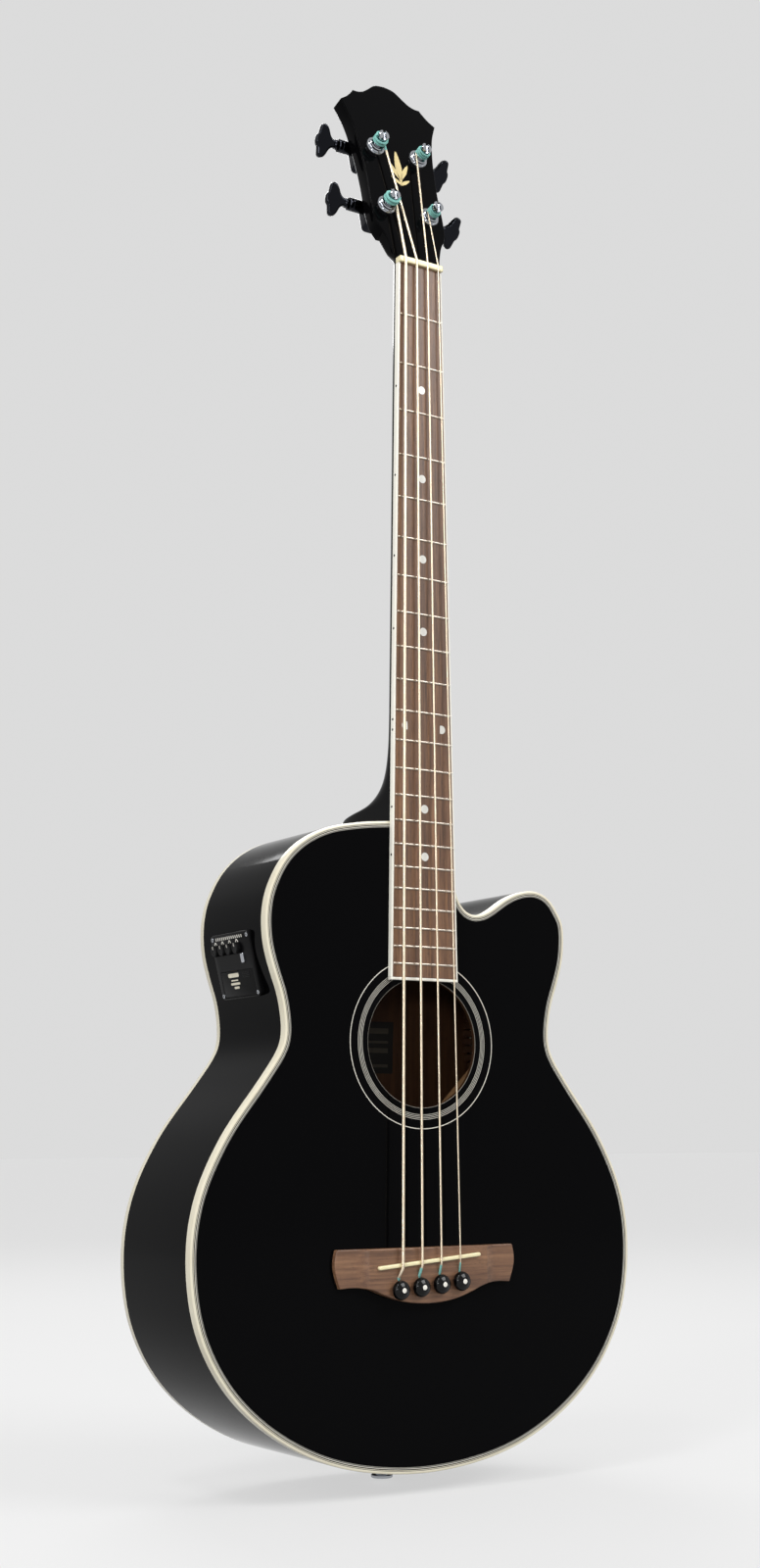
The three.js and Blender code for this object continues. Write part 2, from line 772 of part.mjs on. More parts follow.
function heelAndShaft() {
  const sections = heelShares.map(([along, deep]) => {
    const z = jointZ + seat + along * neck.heelLength;
    const extra = neck.heelDepth - neckDepth(z);
    const squareness = THREE.MathUtils.lerp(neck.round, neck.square, deep);
    const front = boardUnder(z) + glue;
    const depth = neckDepth(z) + deep * extra - front;
    return neckSection(z, boardHalf(z), front, depth, squareness, heelTaperShare * deep);
  });
  const nutEnd = scaleLength + nut.thickness;
  for (const [z, front] of [[scaleLength, glue], [nutEnd, glue + seat]])
    sections.push(neckSection(z, board.nutWidth / 2, boardUnder(z) + front, neckDepth(z), neck.round));
  return sections;
}

// Sections that lead from the shaft into the tilted headstock
function headTransition() {
  const frontAt = (z) => -head.face + head.veneer + (z - headZ) * Math.tan(head.tilt);
  const backAt = (z) => frontAt(z) + (head.thickness - head.veneer) / Math.cos(head.tilt);
  const half = board.nutWidth / 2;
  const lead = head.thickness;
  return [
    [headZ + lead * 0.6, half, 1.6],
    [headZ + lead * 1.5, half, 0.5],
    [headZ + lead * 2.4, half * 0.9, -0.7],
  ].map(([z, halfWidth, bulge]) => {
    const front = frontAt(z) + 2 * head.veneer;
    return neckSection(z, halfWidth, front, backAt(z) + bulge * head.veneer - front, neck.round);
  });
}

const curvePoints = (rows, steps) =>
  new THREE.SplineCurve(rows.map(([a, b]) => new THREE.Vector2(a, b))).getPoints(steps);

// The headstock's outline from one share of its length upwards
function headShape(start, margin = 0) {
  const side = curvePoints(headSideShares, headSideShares.length + 2);
  const top = curvePoints(headTopShares, headTopShares.length);
  const crown = curvePoints(headCrownShares, headCrownShares.length + 1);
  const scale = (p) => new THREE.Vector2(p.x * (head.halfWidth - margin), p.y * (head.length - margin));
  const right = [...side, ...top.slice(1), ...crown.slice(1)].map(scale).filter((p) => p.y > start);
  const foot = new THREE.Vector2(right[0].x, start);
  const left = right.slice(0, -1).reverse().map((p) => new THREE.Vector2(-p.x, p.y));
  const shape = new THREE.Shape([foot, ...right, ...left, new THREE.Vector2(-foot.x, start)]);
  return shape;
}

const tunerZ = (string) => tunerShares[string.row] * head.length;
const tunerPlaces = fixings.map((fixing) => [fixing.side * tuner.x, tunerZ(fixing)]);

function withPostHoles(shape, radius) {
  tunerPlaces.forEach(([x, z]) => shape.holes.push(new THREE.Path().absarc(x, z, radius, 0, 2 * Math.PI)));
  return shape;
}

function toHead(geometry) {
  headGroup.updateMatrix();
  return geometry.applyMatrix4(headGroup.matrix);
}

function neckShape() {
  const shaftSolid = solid(skin([...heelAndShaft(), ...headTransition()]));
  const plateShape = withPostHoles(headShape(head.start), tuner.holeRadius);
  const plate = solid(toHead(slab(plateShape, head.veneer + glue, head.thickness, 0, holeSegments)));
  const channel = box(
    -rod.halfWidth - seat,
    rod.halfWidth + seat,
    -overrun,
    boardUnder(rodStart) + rod.depth + 2 * seat,
    jointZ - overrun,
    rodEnd + seat,
  );
  const nutRoom = wrenchPath(jointZ - overrun, rodStart + rodNut.radius + seat);
  const tenonSolid = solid(tenonBox(0)).intersect(solid(box(
    -tenon.halfWidth,
    tenon.halfWidth,
    0,
    tenon.back,
    jointZ - tenon.length,
    jointZ + overrun,
  )));
  return cut(join(shaftSolid, plate, tenonSolid), solid(channel), nutRoom);
}

// One section across the fretboard: flat below, round above
function boardSection(z, halfWidth, above = 0, below = 0) {
  const points = [v3(halfWidth, boardUnder(z) + below, z), v3(-halfWidth, boardUnder(z) + below, z)];
  for (let i = 0; i <= board.arcSteps; i++) {
    const x = THREE.MathUtils.lerp(-halfWidth, halfWidth, i / board.arcSteps);
    points.push(v3(x, boardTop(x, z) - above, z));
  }
  return points;
}

const boardStart = boardEnd + board.endBinding;
const nutFace = scaleLength - glue;

function fretShape(n) {
  const z = fretZ(n);
  const half = boardHalf(z) - board.binding - seat;
  const sections = Array.from({ length: board.arcSteps + 1 }, (_, i) => {
    const x = THREE.MathUtils.lerp(-half, half, i / board.arcSteps);
    const y = boardTop(x, z);
    return [
      v3(x, y + fret.sunk, z - fret.width / 2),
      v3(x, y + fret.sunk, z + fret.width / 2),
      v3(x, y - fret.height, z + fret.crown / 2),
      v3(x, y - fret.height, z - fret.crown / 2),
    ];
  });
  return skin(sections);
}

function fretboard() {
  const narrow = board.binding + glue;
  const blank = skin([boardStart + glue, nutFace].map((z) => boardSection(z, boardHalf(z) - narrow)));
  const frets = Array.from({ length: fretCount }, (_, i) => solid(fretShape(i + 1)));
  return join(solid(blank), ...frets);
}

function fretboardBinding() {
  const full = skin([boardEnd, nutFace].map((z) => boardSection(z, boardHalf(z))));
  const ends = [boardStart, nutFace + overrun];
  const inner = skin(ends.map((z) => boardSection(z, boardHalf(z) - board.binding, overrun, overrun)));
  return cut(solid(full), solid(inner));
}

function trussRod() {
  const front = boardUnder(rodStart) + seat;
  const bar = box(-rod.halfWidth, rod.halfWidth, front, front + rod.depth, rodStart, rodEnd);
  const end = rodStart + rodNut.radius;
  const hex = rodAlongZ(rodNut.radius, end - rodNut.length, end, 0, rodNut.depth, rodNut.sides);
  return join(solid(bar), solid(hex));
}

// Strings

const middleIndex = (fixings.length - 1) / 2;
const strings = fixings.map((fixing, i) => ({
  ...fixing,
  gauge: gauges[fixing.name],
  nutX: nut.spacing * (i - middleIndex),
  saddleX: saddle.spacing * (i - middleIndex),
}));
const saddleZ = (x) => saddle.forward + saddle.slope * x;
const pinIndex = (i) => i - middleIndex;
const pinPlace = (i) => {
  const x = pin.pitch * pinIndex(i);
  return [x, -pin.below + saddle.slope * x];
};
const stringRadius = (string) => string.gauge / 2;
const crestY = (string) => -bridge.height - saddle.height - glue - stringRadius(string);
const nutY = (string) =>
  boardTop(string.nutX, scaleLength) - fret.height - nut.action - stringRadius(string);

// The end of a string at the bridge: up beside its pin, out of the bridge's ramp and over the saddle
function bridgeEnd(string, i) {
  const [x, z] = pinPlace(i);
  const radius = stringRadius(string);
  const foot = body.top + bridgePlate.thickness + glue + seat + stringEnd.ballLength;
  const out = z + stringEnd.setback;
  const crest = saddleZ(string.saddleX);
  return [
    v3(x, foot, out),
    v3(x, foot - stringEnd.ballLength, out),
    v3(x, foot - stringEnd.ballLength, out),
    v3(x, -bridge.height * 0.45, out),
    v3(x, -bridge.height * 0.72, out + radius),
    v3(x, -bridge.height - radius * 0.2, out + 4 * radius),
    v3(string.saddleX, crestY(string), crest - saddle.width / 2),
    v3(string.saddleX, crestY(string), crest + saddle.width / 2),
  ];
}

function bridgeRadii(string) {
  const radius = stringRadius(string);
  const ball = stringEnd.ballRadius;
  return [ball, ball, radius, radius, radius, radius, radius, radius];
}

const fromHead = (x, y, s) => v3(x, y, s).applyMatrix4(headGroup.matrix);
const coilRadius = (string) => post.waist + seat + stringRadius(string);
const coilStart = (string) => -bushing.height - winding.clear - stringRadius(string);
const coilPitch = (string) => string.gauge + winding.clear;

// The winding: from where the string touches its post, round it and up in one unbroken helix
function coil(string) {
  headGroup.updateMatrix();
  const centre = new THREE.Vector2(string.side * tuner.x, tunerZ(string));
  const nutPoint = v3(string.nutX, nutY(string), scaleLength + nut.thickness);
  const local = nutPoint.clone().applyMatrix4(headGroup.matrix.clone().invert());
  const towards = new THREE.Vector2(local.x, local.z).sub(centre);
  const spread = Math.acos(coilRadius(string) / towards.length());
  const first = towards.angle() - string.side * spread;
  const count = Math.round(string.turns * winding.stepsPerTurn);
  return Array.from({ length: count + 1 }, (_, k) => {
    const turn = k / winding.stepsPerTurn;
    const angle = first - string.side * 2 * Math.PI * turn;
    const x = centre.x + coilRadius(string) * Math.cos(angle);
    const z = centre.y + coilRadius(string) * Math.sin(angle);
    return fromHead(x, coilStart(string) - turn * coilPitch(string), z);
  });
}

function stringPath(string, i) {
  const atNut = [
    v3(string.nutX, nutY(string), scaleLength),
    v3(string.nutX, nutY(string), scaleLength + nut.thickness * 0.8),
  ];
  return [...bridgeEnd(string, i), ...atNut, ...coil(string)];
}

function stringTube(string, i, extra = 0) {
  const path = stringPath(string, i);
  const ends = bridgeRadii(string);
  return tube(path, path.map((_, k) => (k < ends.length ? ends[k] : stringRadius(string)) + extra));
}

// The least gap between two turns of a winding, measured on its points
function leastGap(string) {
  const points = coil(string);
  const half = winding.stepsPerTurn / 2;
  let least = Infinity;
  points.forEach((p, i) => {
    for (let j = i + half; j < points.length; j++) least = Math.min(least, p.distanceTo(points[j]));
  });
  return least - string.gauge;
}

// Nut, bridge, saddle and pins

function nutShape() {
  const half = board.nutWidth / 2;
  const ends = [scaleLength, scaleLength + nut.thickness];
  const block = skin(ends.map((z) => boardSection(z, half, nut.proud)));
  const slots = strings.map((string, i) => {
    const path = stringPath(string, i).slice(0, bridgeEnd(string, i).length + 1);
    const nutEnd = v3(string.nutX, nutY(string), scaleLength + nut.thickness * 0.8);
    const next = coil(string)[0];
    const last = path.slice(-2);
    return solid(tube([...last, nutEnd, next], stringRadius(string) + seat));
  });
  return cut(solid(block), ...slots);
}

// Each pin's round hole, with the slot in front of it that its string comes up through
function pinHoles(y0, y1) {
  return strings.flatMap((string, i) => {
    const [x, z] = pinPlace(i);
    const half = stringRadius(string) + seat;
    return [
      solid(rodAlongY(pin.shank + seat, y0, y1, x, z)),
      solid(box(x - half, x + half, y0, y1, z, z + stringEnd.setback + half)),
    ];
  });
}

function bridgeShape() {
  const corner = new THREE.SplineCurve([
    new THREE.Vector2(bridge.halfLength * 0.945, -bridge.wingBelow),
    new THREE.Vector2(bridge.halfLength, -bridge.wingBelow * 0.17),
    new THREE.Vector2(bridge.halfLength * 0.985, bridge.above * 0.86),
    new THREE.Vector2(bridge.halfLength * 0.955, bridge.above),
  ]).getPoints(5);
  const lower = curvePoints(bellyShares, bellyShares.length).map(
    (p) => new THREE.Vector2(p.x * bridge.halfLength, -p.y * bridge.belly),
  );
  const right = [...lower.reverse(), ...corner.slice(1)];
  const left = right.slice(1).reverse().map((p) => new THREE.Vector2(-p.x, p.y));
  return new THREE.Shape([...right, ...left]);
}

// The hollow curve that thins each wing of the bridge, drawn from the front's edge outwards
function scoop(side) {
  const top = -bridge.height - overrun;
  const arc = new THREE.QuadraticBezierCurve(
    new THREE.Vector2(side * bridge.scoopStart, -bridge.height - glue),
    new THREE.Vector2(side * (bridge.scoopStart + bridge.scoopLength * 0.35), -bridge.wingHeight),
    new THREE.Vector2(side * (bridge.scoopStart + bridge.scoopLength), -bridge.wingHeight),
  ).getPoints(4);
  const far = side * (bridge.halfLength + overrun);
  const shape = new THREE.Shape([
    ...arc,
    new THREE.Vector2(far, -bridge.wingHeight),
    new THREE.Vector2(far, top),
    new THREE.Vector2(side * bridge.scoopStart, top),
  ]);
  const depth = bridge.above + bridge.belly + 2 * overrun;
  const geometry = new THREE.ExtrudeGeometry(shape, { depth, bevelEnabled: false, steps: 1 });
  return solid(geometry.translate(0, 0, -bridge.belly - overrun));
}

function saddleOutline(margin) {
  const radius = saddle.width / 2 + margin;
  const run = saddle.halfLength - saddle.width / 2;
  const tilt = Math.atan(saddle.slope);
  const shape = new THREE.Shape();
  const [cos, sin] = [Math.cos(tilt), Math.sin(tilt)];
  shape.absarc(run * cos, saddle.forward + run * sin, radius, tilt - Math.PI / 2, tilt + Math.PI / 2);
  shape.absarc(-run * cos, saddle.forward - run * sin, radius, tilt + Math.PI / 2, tilt - Math.PI / 2);
  return shape;
}

function bridgeSolid() {
  const raw = solid(slab(bridgeShape(), -bridge.height, -glue));
  const slot = solid(slab(saddleOutline(seat), -bridge.height - overrun, -saddle.floor));
  const ramps = strings.map((string, i) => {
    const path = bridgeEnd(string, i).slice(3, 7);
    return solid(tube(path, stringRadius(string) + seat));
  });
  return cut(raw, scoop(1), scoop(-1), slot, ...pinHoles(-bridge.height - overrun, overrun), ...ramps);
}

// The plate under the bridge, which ends short of the X's arms
function bridgePlateSolid() {
  const armEdge = brace.width / (2 * Math.cos(xBrace.spread)) + bridgePlate.armGap;
  const halfLength = (crossingZ - bridgePlate.above) * Math.tan(xBrace.spread) - armEdge;
  const raw = box(
    -halfLength,
    halfLength,
    underTop,
    underTop + bridgePlate.thickness,
    -bridgePlate.below,
    bridgePlate.above,
  );
  return cut(solid(raw), ...pinHoles(0, underTop + bridgePlate.thickness + overrun));
}

// A bridge pin: round head with a flat dot on top, and a tapered shank
function pinShape(i) {
  const [x, z] = pinPlace(i);
  const rest = -bridge.height - seat;
  const top = -bridge.height - pin.height;
  const profile = [
    [0, rest + pin.length],
    [pin.tip, rest + pin.length - pin.tip / 2],
    [pin.shank, rest],
    [pin.headRadius * 0.68, rest - pin.height * 0.06],
    [pin.headRadius, rest - pin.height * 0.38],
    [pin.headRadius * 0.84, rest - pin.height * 0.76],
    [pin.dotRadius, top],
    [0, top],
  ];
  return lathe(profile, arcSegments).translate(x, 0, z);
}

function lathe(profile, segments) {
  const points = profile.map(([r, y]) => new THREE.Vector2(r, y));
  return facingOut(new THREE.LatheGeometry(points, segments));
}

function facingOut(geometry) {
  const made = solid(geometry);
  if (made.volume() > 0) return geometry;
  geometry.setIndex(Array.from(geometry.index.array).reverse());
  return geometry;
}

const ringProfile = (rows) => [...rows, rows[0]];

// Tuners

function bushingShape(x, z) {
  const bore = post.radius + seat;
  const profile = ringProfile([
    [bore, bushing.sleeveLength],
    [bushing.sleeve, bushing.sleeveLength],
    [bushing.sleeve, -glue],
    [bushing.flangeRadius, -glue],
    [bushing.flangeRadius * 0.95, -bushing.flange],
    [bushing.radius, -bushing.flange],
    [bushing.radius * 0.95, -bushing.height],
    [bore, -bushing.height],
  ]);
  return lathe(profile, arcSegments).translate(x, 0, z);
}

// The worm wheel's outline, with straight-sided teeth
function wheelShape() {
  const points = [];
  const step = (2 * Math.PI) / gear.teeth;
  const half = gear.tooth / (2 * gear.pitchRadius);
  for (let i = 0; i < gear.teeth; i++)
    for (const [offset, reach] of [[-half * 1.5, -1], [-half * 0.6, 1], [half * 0.6, 1], [half * 1.5, -1]]) {
      const angle = Math.PI / 2 + i * step + offset;
      const radius = gear.pitchRadius + (reach > 0 ? gear.addendum : -gear.addendum - gear.rootGap);
      points.push(new THREE.Vector2(radius * Math.cos(angle), radius * Math.sin(angle)));
    }
  return new THREE.Shape(points);
}

function postShape(x, z) {
  const top = -post.height;
  const profile = [
    [0, gearDepth + gear.halfWidth + seat],
    [post.radius, gearDepth + gear.halfWidth + seat],
    [post.radius, -bushing.height],
    [post.waist, -bushing.height - winding.clear / 2],
    [post.waist, top + post.cap * 1.4],
    [post.top, top + post.cap],
    [post.top * 0.9, top],
    [0, top],
  ];
  const spindle = solid(lathe(profile, smallArcSegments));
  const wheel = solid(slab(wheelShape(), gearDepth - gear.halfWidth, gearDepth + gear.halfWidth));
  const half = post.slot / 2;
  const slot = box(-half, half, top - overrun, top + post.slotDepth, -2 * post.top, 2 * post.top);
  return geometryOf(cut(join(spindle, wheel), solid(slot))).translate(x, 0, z);
}

// The worm: a core with one thread wound round it, centred beside the wheel
function wormShape() {
  const lead = (2 * Math.PI * gear.pitchRadius) / gear.teeth;
  const crest = worm.pitchRadius + gear.addendum;
  const coreRadius = worm.pitchRadius - gear.addendum - gear.rootGap;
  const root = coreRadius - worm.sunk;
  const half = gear.tooth / 2;
  const count = Math.round(worm.turns * worm.stepsPerTurn);
  const sections = Array.from({ length: count + 1 }, (_, k) => {
    const turn = k / worm.stepsPerTurn - worm.turns / 2;
    const middle = lead * (turn + 0.5);
    const angle = 2 * Math.PI * turn;
    const at = (x, r) => v3(x, r * Math.sin(angle), -r * Math.cos(angle));
    return [
      at(middle - half * 1.5, root),
      at(middle - half * 0.6, crest),
      at(middle + half * 0.6, crest),
      at(middle + half * 1.5, root),
    ];
  });
  const core = rodAlongX(coreRadius, -worm.halfLength, worm.halfLength, 0, 0, worm.stepsPerTurn);
  return join(solid(core), solid(skin(sections)));
}

// The key's flat button with its two side lobes and small end lobe
function buttonShape() {
  const half = curvePoints(buttonShares, buttonShares.length).map(
    (p) => new THREE.Vector2(p.x * button.length, p.y * button.halfSpan),
  );
  const other = [...half].reverse().map((p) => new THREE.Vector2(p.x, -p.y));
  return new THREE.Shape([...half, ...other]);
}

function keyShape(side, angle) {
  const sides = smallArcSegments;
  const stub = rodAlongX(shaft.radius, worm.halfLength - overrun, shaft.keyStart, 0, 0, sides);
  const wingStart = shaft.keyStart + button.stemLength / 2;
  const collarStart = shaft.keyStart - shaft.radius / 3;
  const collarEnd = shaft.keyStart + button.stemLength;
  const collar = rodAlongX(button.stemRadius, collarStart, collarEnd, 0, 0, sides);
  const half = button.thickness / 2;
  const wing = slab(buttonShape(), -half, half, button.bevel);
  wing.translate(wingStart, 0, 0).rotateX(angle);
  const outer = join(solid(stub), solid(collar), solid(wing));
  const turned = geometryOf(outer).rotateY(side < 0 ? Math.PI : 0);
  return join(solid(turned), wormShape());
}

function housingShape(side) {
  const { halfWidth, below, above, depth, corner, wall, boss } = housing;
  const front = head.thickness + seat;
  const back = head.thickness + depth;
  const cover = slab(roundedShape(-halfWidth, halfWidth, -below, above, corner), front, back, wall / 2, 3);
  const wheelRoom = rodAlongY(
    gear.pitchRadius + gear.addendum + seat * 2,
    front - overrun,
    gearDepth + gear.halfWidth + 2 * seat,
    0,
    0,
    arcSegments + 4,
  );
  const wormRadius = worm.pitchRadius + gear.addendum + seat * 1.5;
  const wormReach = worm.halfLength + seat * 2;
  const sides = smallArcSegments;
  const wormRoom = rodAlongX(wormRadius, -wormReach, wormReach, gearDepth, wormSide, sides);
  const outwards = (x0, x1, radius) =>
    side > 0
      ? rodAlongX(radius, x0, x1, gearDepth, wormSide, sides)
      : rodAlongX(radius, -x1, -x0, gearDepth, wormSide, sides);
  const bossRod = outwards(halfWidth - overrun, shaft.bossEnd, boss);
  const bore = outwards(0, shaft.bossEnd + overrun, shaft.radius + seat);
  return cut(join(solid(cover), solid(bossRod)), solid(wheelRoom), solid(wormRoom), solid(bore));
}

const keyTurns = { e: -0.5, a: -0.62, d: 0.9, g: 1.05 }; // how each key happens to stand, in radians

function tunerPieces() {
  strings.forEach((string) => {
    const x = string.side * tuner.x;
    const z = tunerZ(string);
    const name = string.name;
    const key = add(`tuner_key_${name}`, keyShape(string.side, keyTurns[name]), chrome, headGroup);
    key.position.set(x, gearDepth, z + wormSide);
    add(`tuner_post_${name}`, postShape(x, z), chrome, headGroup);
    add(`tuner_bushing_${name}`, bushingShape(x, z), chrome, headGroup);
    const shell = add(`tuner_housing_${name}`, housingShape(string.side), chrome, headGroup);
    shell.position.set(x, 0, z);
  });
}

// Preamp in the bass side

const panelZ = upBody(preampShare);

// The panel's frame: x points out of the side, y to the front, z up along the side
const preampFrame = new THREE.Matrix4();
function setPreampFrame() {
  const at = (z) => sideX(z);
  const low = new THREE.Vector2(at(panelZ - preamp.chord / 2), panelZ - preamp.chord / 2);
  const high = new THREE.Vector2(at(panelZ + preamp.chord / 2), panelZ + preamp.chord / 2);
  const up = high.clone().sub(low).normalize();
  const middle = low.add(high).multiplyScalar(0.5);
  const out = v3(-up.y, 0, up.x);
  const along = v3(up.x, 0, up.y);
  preampFrame.makeBasis(out, v3(0, -1, 0), along);
  preampFrame.setPosition(middle.x, preamp.depth, middle.y);
}

// Where the bass side's outer face lies at a height
function sideX(z) {
  const bass = outline.filter((p) => p.x < 0);
  for (let i = 1; i < bass.length; i++) {
    const [a, b] = [bass[i - 1], bass[i]];
    if ((a.y - z) * (b.y - z) <= 0 && z > 0) return THREE.MathUtils.mapLinear(z, a.y, b.y, a.x, b.x);
  }
  return -body.upperBout / 2;
}
setPreampFrame();

const preampGroup = new THREE.Group();
preampGroup.applyMatrix4(preampFrame);
guitar.add(preampGroup);

// A block in the panel's frame, drawn across (y) and up (z) and running from one depth to another
function panelBlock(shape, x0, x1) {
  return new THREE.ExtrudeGeometry(shape, {
    depth: x1 - x0,
    bevelEnabled: false,
    curveSegments: 2,
    steps: 1,
  })
    .rotateX(Math.PI / 2)
    .rotateZ(Math.PI / 2)
    .translate(x0, 0, 0);
}

const panelRect = (y, z, width, length, corner) =>
  roundedShape(y - width / 2, y + width / 2, z - length / 2, z + length / 2, corner);

function preampOpening() {
  const gap = 2 * seat;
  const shape = panelRect(0, 0, preampBox.width + gap, preampBox.length + gap, preampBox.corner);
  return solid(panelBlock(shape, -body.rim * 4, preamp.face * 2).applyMatrix4(preampFrame));
}

const knobPlace = (i) => [knob.shift + knob.pitch * pinIndex(i), knob.row];
const doorMiddle = door.bottom + door.length / 2;
const knobNumbers = [0, 1, 2, 3];

// The space inside the body's outer faces, moved to the panel's frame
function bodyInPanelFrame(margin) {
  const inside = solid(interior(-margin, flat(-overrun), (x, z) => backY(x, z) + overrun));
  return inside.transform(preampFrame.clone().invert().toArray());
}

// A straight cut through the panel, as wide as a piece and its clearance
function panelCut(y, z, width, length, corner, gap) {
  const shape = panelRect(y, z, width + 2 * gap, length + 2 * gap, corner);
  return solid(panelBlock(shape, -preamp.skirt - overrun, preamp.face + overrun));
}

function panelShape() {
  const outer = panelRect(0, 0, preamp.width, preamp.length, preamp.corner);
  const raw = solid(panelBlock(outer, -preamp.skirt, preamp.face));
  const knobHoles = knobNumbers.map((i) => {
    const [y, z] = knobPlace(i);
    const reach = [-preamp.skirt - overrun, preamp.face + overrun];
    return solid(rodAlongX(knob.shaft + seat, ...reach, y, z, smallArcSegments));
  });
  const { across: y, row: z, width, length, corner } = pushButton;
  return cut(
    raw,
    bodyInPanelFrame(seat),
    ...knobHoles,
    panelCut(0, doorMiddle, door.width, door.length, door.corner, door.clear),
    panelCut(y, z, width, length, corner, seat),
  );
}

// The box behind the panel: a bay for the battery, and shallow room for the controls
function preampBoxShape() {
  const outer = panelRect(0, 0, preampBox.width, preampBox.length, preampBox.corner);
  const block = solid(panelBlock(outer, -preampBox.depth, preamp.face)).intersect(bodyInPanelFrame(0));
  const { length, height, depth, corner, row, front } = battery;
  const bay = panelRect(0, row, length + 2 * seat, height + 2 * seat, corner);
  const bayCut = panelBlock(bay, -front - depth - seat, preamp.face + overrun);
  const roomMiddle = (controlRoom.bottom + controlRoom.top) / 2;
  const roomLength = controlRoom.top - controlRoom.bottom;
  const room = panelRect(0, roomMiddle, controlRoom.width, roomLength, preampBox.corner);
  return cut(block, solid(bayCut), solid(panelBlock(room, -controlRoom.depth, preamp.face + overrun)));
}

function knobShape() {
  const start = preamp.face + seat;
  const profile = [
    [0, -knob.reach],
    [knob.shaft, -knob.reach],
    [knob.shaft, start],
    [knob.radius, start],
    [knob.radius * 0.92, start + knob.height * 0.85],
    [knob.radius * 0.78, start + knob.height],
    [0, start + knob.height],
  ];
  return lathe(profile, knob.sides).rotateZ(-Math.PI / 2);
}

function preampPieces() {
  add("preamp_panel", panelShape(), blackPlastic, preampGroup);
  add("preamp_housing", preampBoxShape(), blackPlastic, preampGroup);
  knobNumbers.forEach((i) => {
    const mesh = add(`preamp_knob_${i + 1}`, knobShape(), blackPlastic, preampGroup);
    mesh.position.set(0, ...knobPlace(i));
  });
  const { across: y, row: z, width, length, proud, reach, corner } = pushButton;
  const key = panelBlock(panelRect(y, z, width, length, corner), -reach, preamp.face + proud);
  add("preamp_button", key, blackPlastic, preampGroup);
  const lid = panelRect(0, doorMiddle, door.width, door.length, door.corner);
  add("battery_door", panelBlock(lid, preamp.face - door.thickness, preamp.face), blackPlastic, preampGroup);
  const cell = panelRect(0, battery.row, battery.length, battery.height, battery.corner);
  add("battery", panelBlock(cell, -battery.front - battery.depth, -battery.front), foil, preampGroup);
}

// The jack that also takes a strap: a bored barrel with a washer, a neck and an end flange
function jackShape() {
  const { proud, lip, radius } = jackEnd;
  const profile = ringProfile([
    [jack.bore, -jack.inner],
    [jack.barrel, -jack.inner],
    [jack.barrel, glue],
    [jack.washer, glue],
    [jack.washer, jack.washerDepth],
    [jack.neck, jack.washerDepth * 1.4],
    [jack.neck, proud - lip * 1.5],
    [radius, proud - lip],
    [radius, proud],
    [jack.bore, proud],
  ]);
  return lathe(profile, arcSegments + 2).rotateX(-Math.PI / 2).translate(0, jackEnd.centre, -tail);
}

// The slanted saddle and the pickup strip below it
function saddlePieces() {
  const floor = -saddle.floor - glue;
  const stripTop = floor - saddle.pickup;
  add("saddle_pickup", slab(saddleOutline(0), stripTop, floor), steel);
  const top = -bridge.height - saddle.height;
  add("saddle", slab(saddleOutline(0), top, stripTop - glue, saddle.width / 8), ivory);
}

function neckPieces() {
  add("neck", neckShape(), blackLacquer);
  const veneerShape = withPostHoles(headShape(head.start), tuner.holeRadius);
  const veneer = slab(veneerShape, 0, head.veneer, 0, holeSegments);
  add("headstock_veneer", veneer, blackLacquer, headGroup);
  add("fretboard", fretboard(), rosewood);
  add("fretboard_binding", fretboardBinding(), ivory);
  add("nut", nutShape(), ivory);
  add("truss_rod", trussRod(), steel);
}

function stringPieces() {
  strings.forEach((string, i) => {
    add(`bridge_pin_${string.name}`, pinShape(i), blackPlastic);
    add(`string_${string.name}`, stringTube(string, i), bronze);
    console.log(`string_${string.name}: least gap between turns ${leastGap(string).toFixed(2)} mm`);
  });
}

bodyPieces();
neckPieces();
add("bridge", bridgeSolid(), rosewood);
saddlePieces();
stringPieces();
tunerPieces();
preampPieces();
add("output_jack", jackShape(), chrome);

guitar.position.set(0, -hanger.depth, -(scaleLength + hanger.above));

export default guitar;
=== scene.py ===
"""Acoustic bass guitar with a single cutaway: the looks of every piece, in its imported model's frame.

Laid out as a Blender add-on and run as a script. Lengths are in millimetres in the instrument's own
frame (X to the treble side, -Y out of the soundboard, +Z up the neck, from the saddle line) and become
metres in the part's frame when a mesh is made.
"""

import math
from types import SimpleNamespace

import bmesh
import bpy
import numpy as np
from mathutils import Matrix, Vector


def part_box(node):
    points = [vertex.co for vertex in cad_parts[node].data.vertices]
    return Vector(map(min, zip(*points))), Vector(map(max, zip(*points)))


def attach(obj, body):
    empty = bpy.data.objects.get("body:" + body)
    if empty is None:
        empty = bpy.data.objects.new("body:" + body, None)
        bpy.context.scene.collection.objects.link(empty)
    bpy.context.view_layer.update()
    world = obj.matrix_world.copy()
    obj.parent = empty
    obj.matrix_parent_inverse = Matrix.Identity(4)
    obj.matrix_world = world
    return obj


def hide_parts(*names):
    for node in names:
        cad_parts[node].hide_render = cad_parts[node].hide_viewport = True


bl_info = {
    "name": "Acoustic bass guitar",
    "version": (1, 0, 0),
    "blender": (4, 5, 0),
    "location": "3D View > Sidebar > Acoustic bass",
    "description": "Dresses the packed model of an acoustic bass guitar in its finishes and fine parts",
    "category": "Add Mesh",
}

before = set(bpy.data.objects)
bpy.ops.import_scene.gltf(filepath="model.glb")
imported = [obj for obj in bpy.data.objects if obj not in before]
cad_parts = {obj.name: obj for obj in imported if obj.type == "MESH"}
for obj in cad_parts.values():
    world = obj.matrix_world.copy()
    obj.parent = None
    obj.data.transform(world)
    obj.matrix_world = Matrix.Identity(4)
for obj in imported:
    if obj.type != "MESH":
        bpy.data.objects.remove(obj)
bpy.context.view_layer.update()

MM = 0.001
ORIGIN = np.array([0.0, 7.0, 827.0])  # the hanger's yoke, from the saddle line

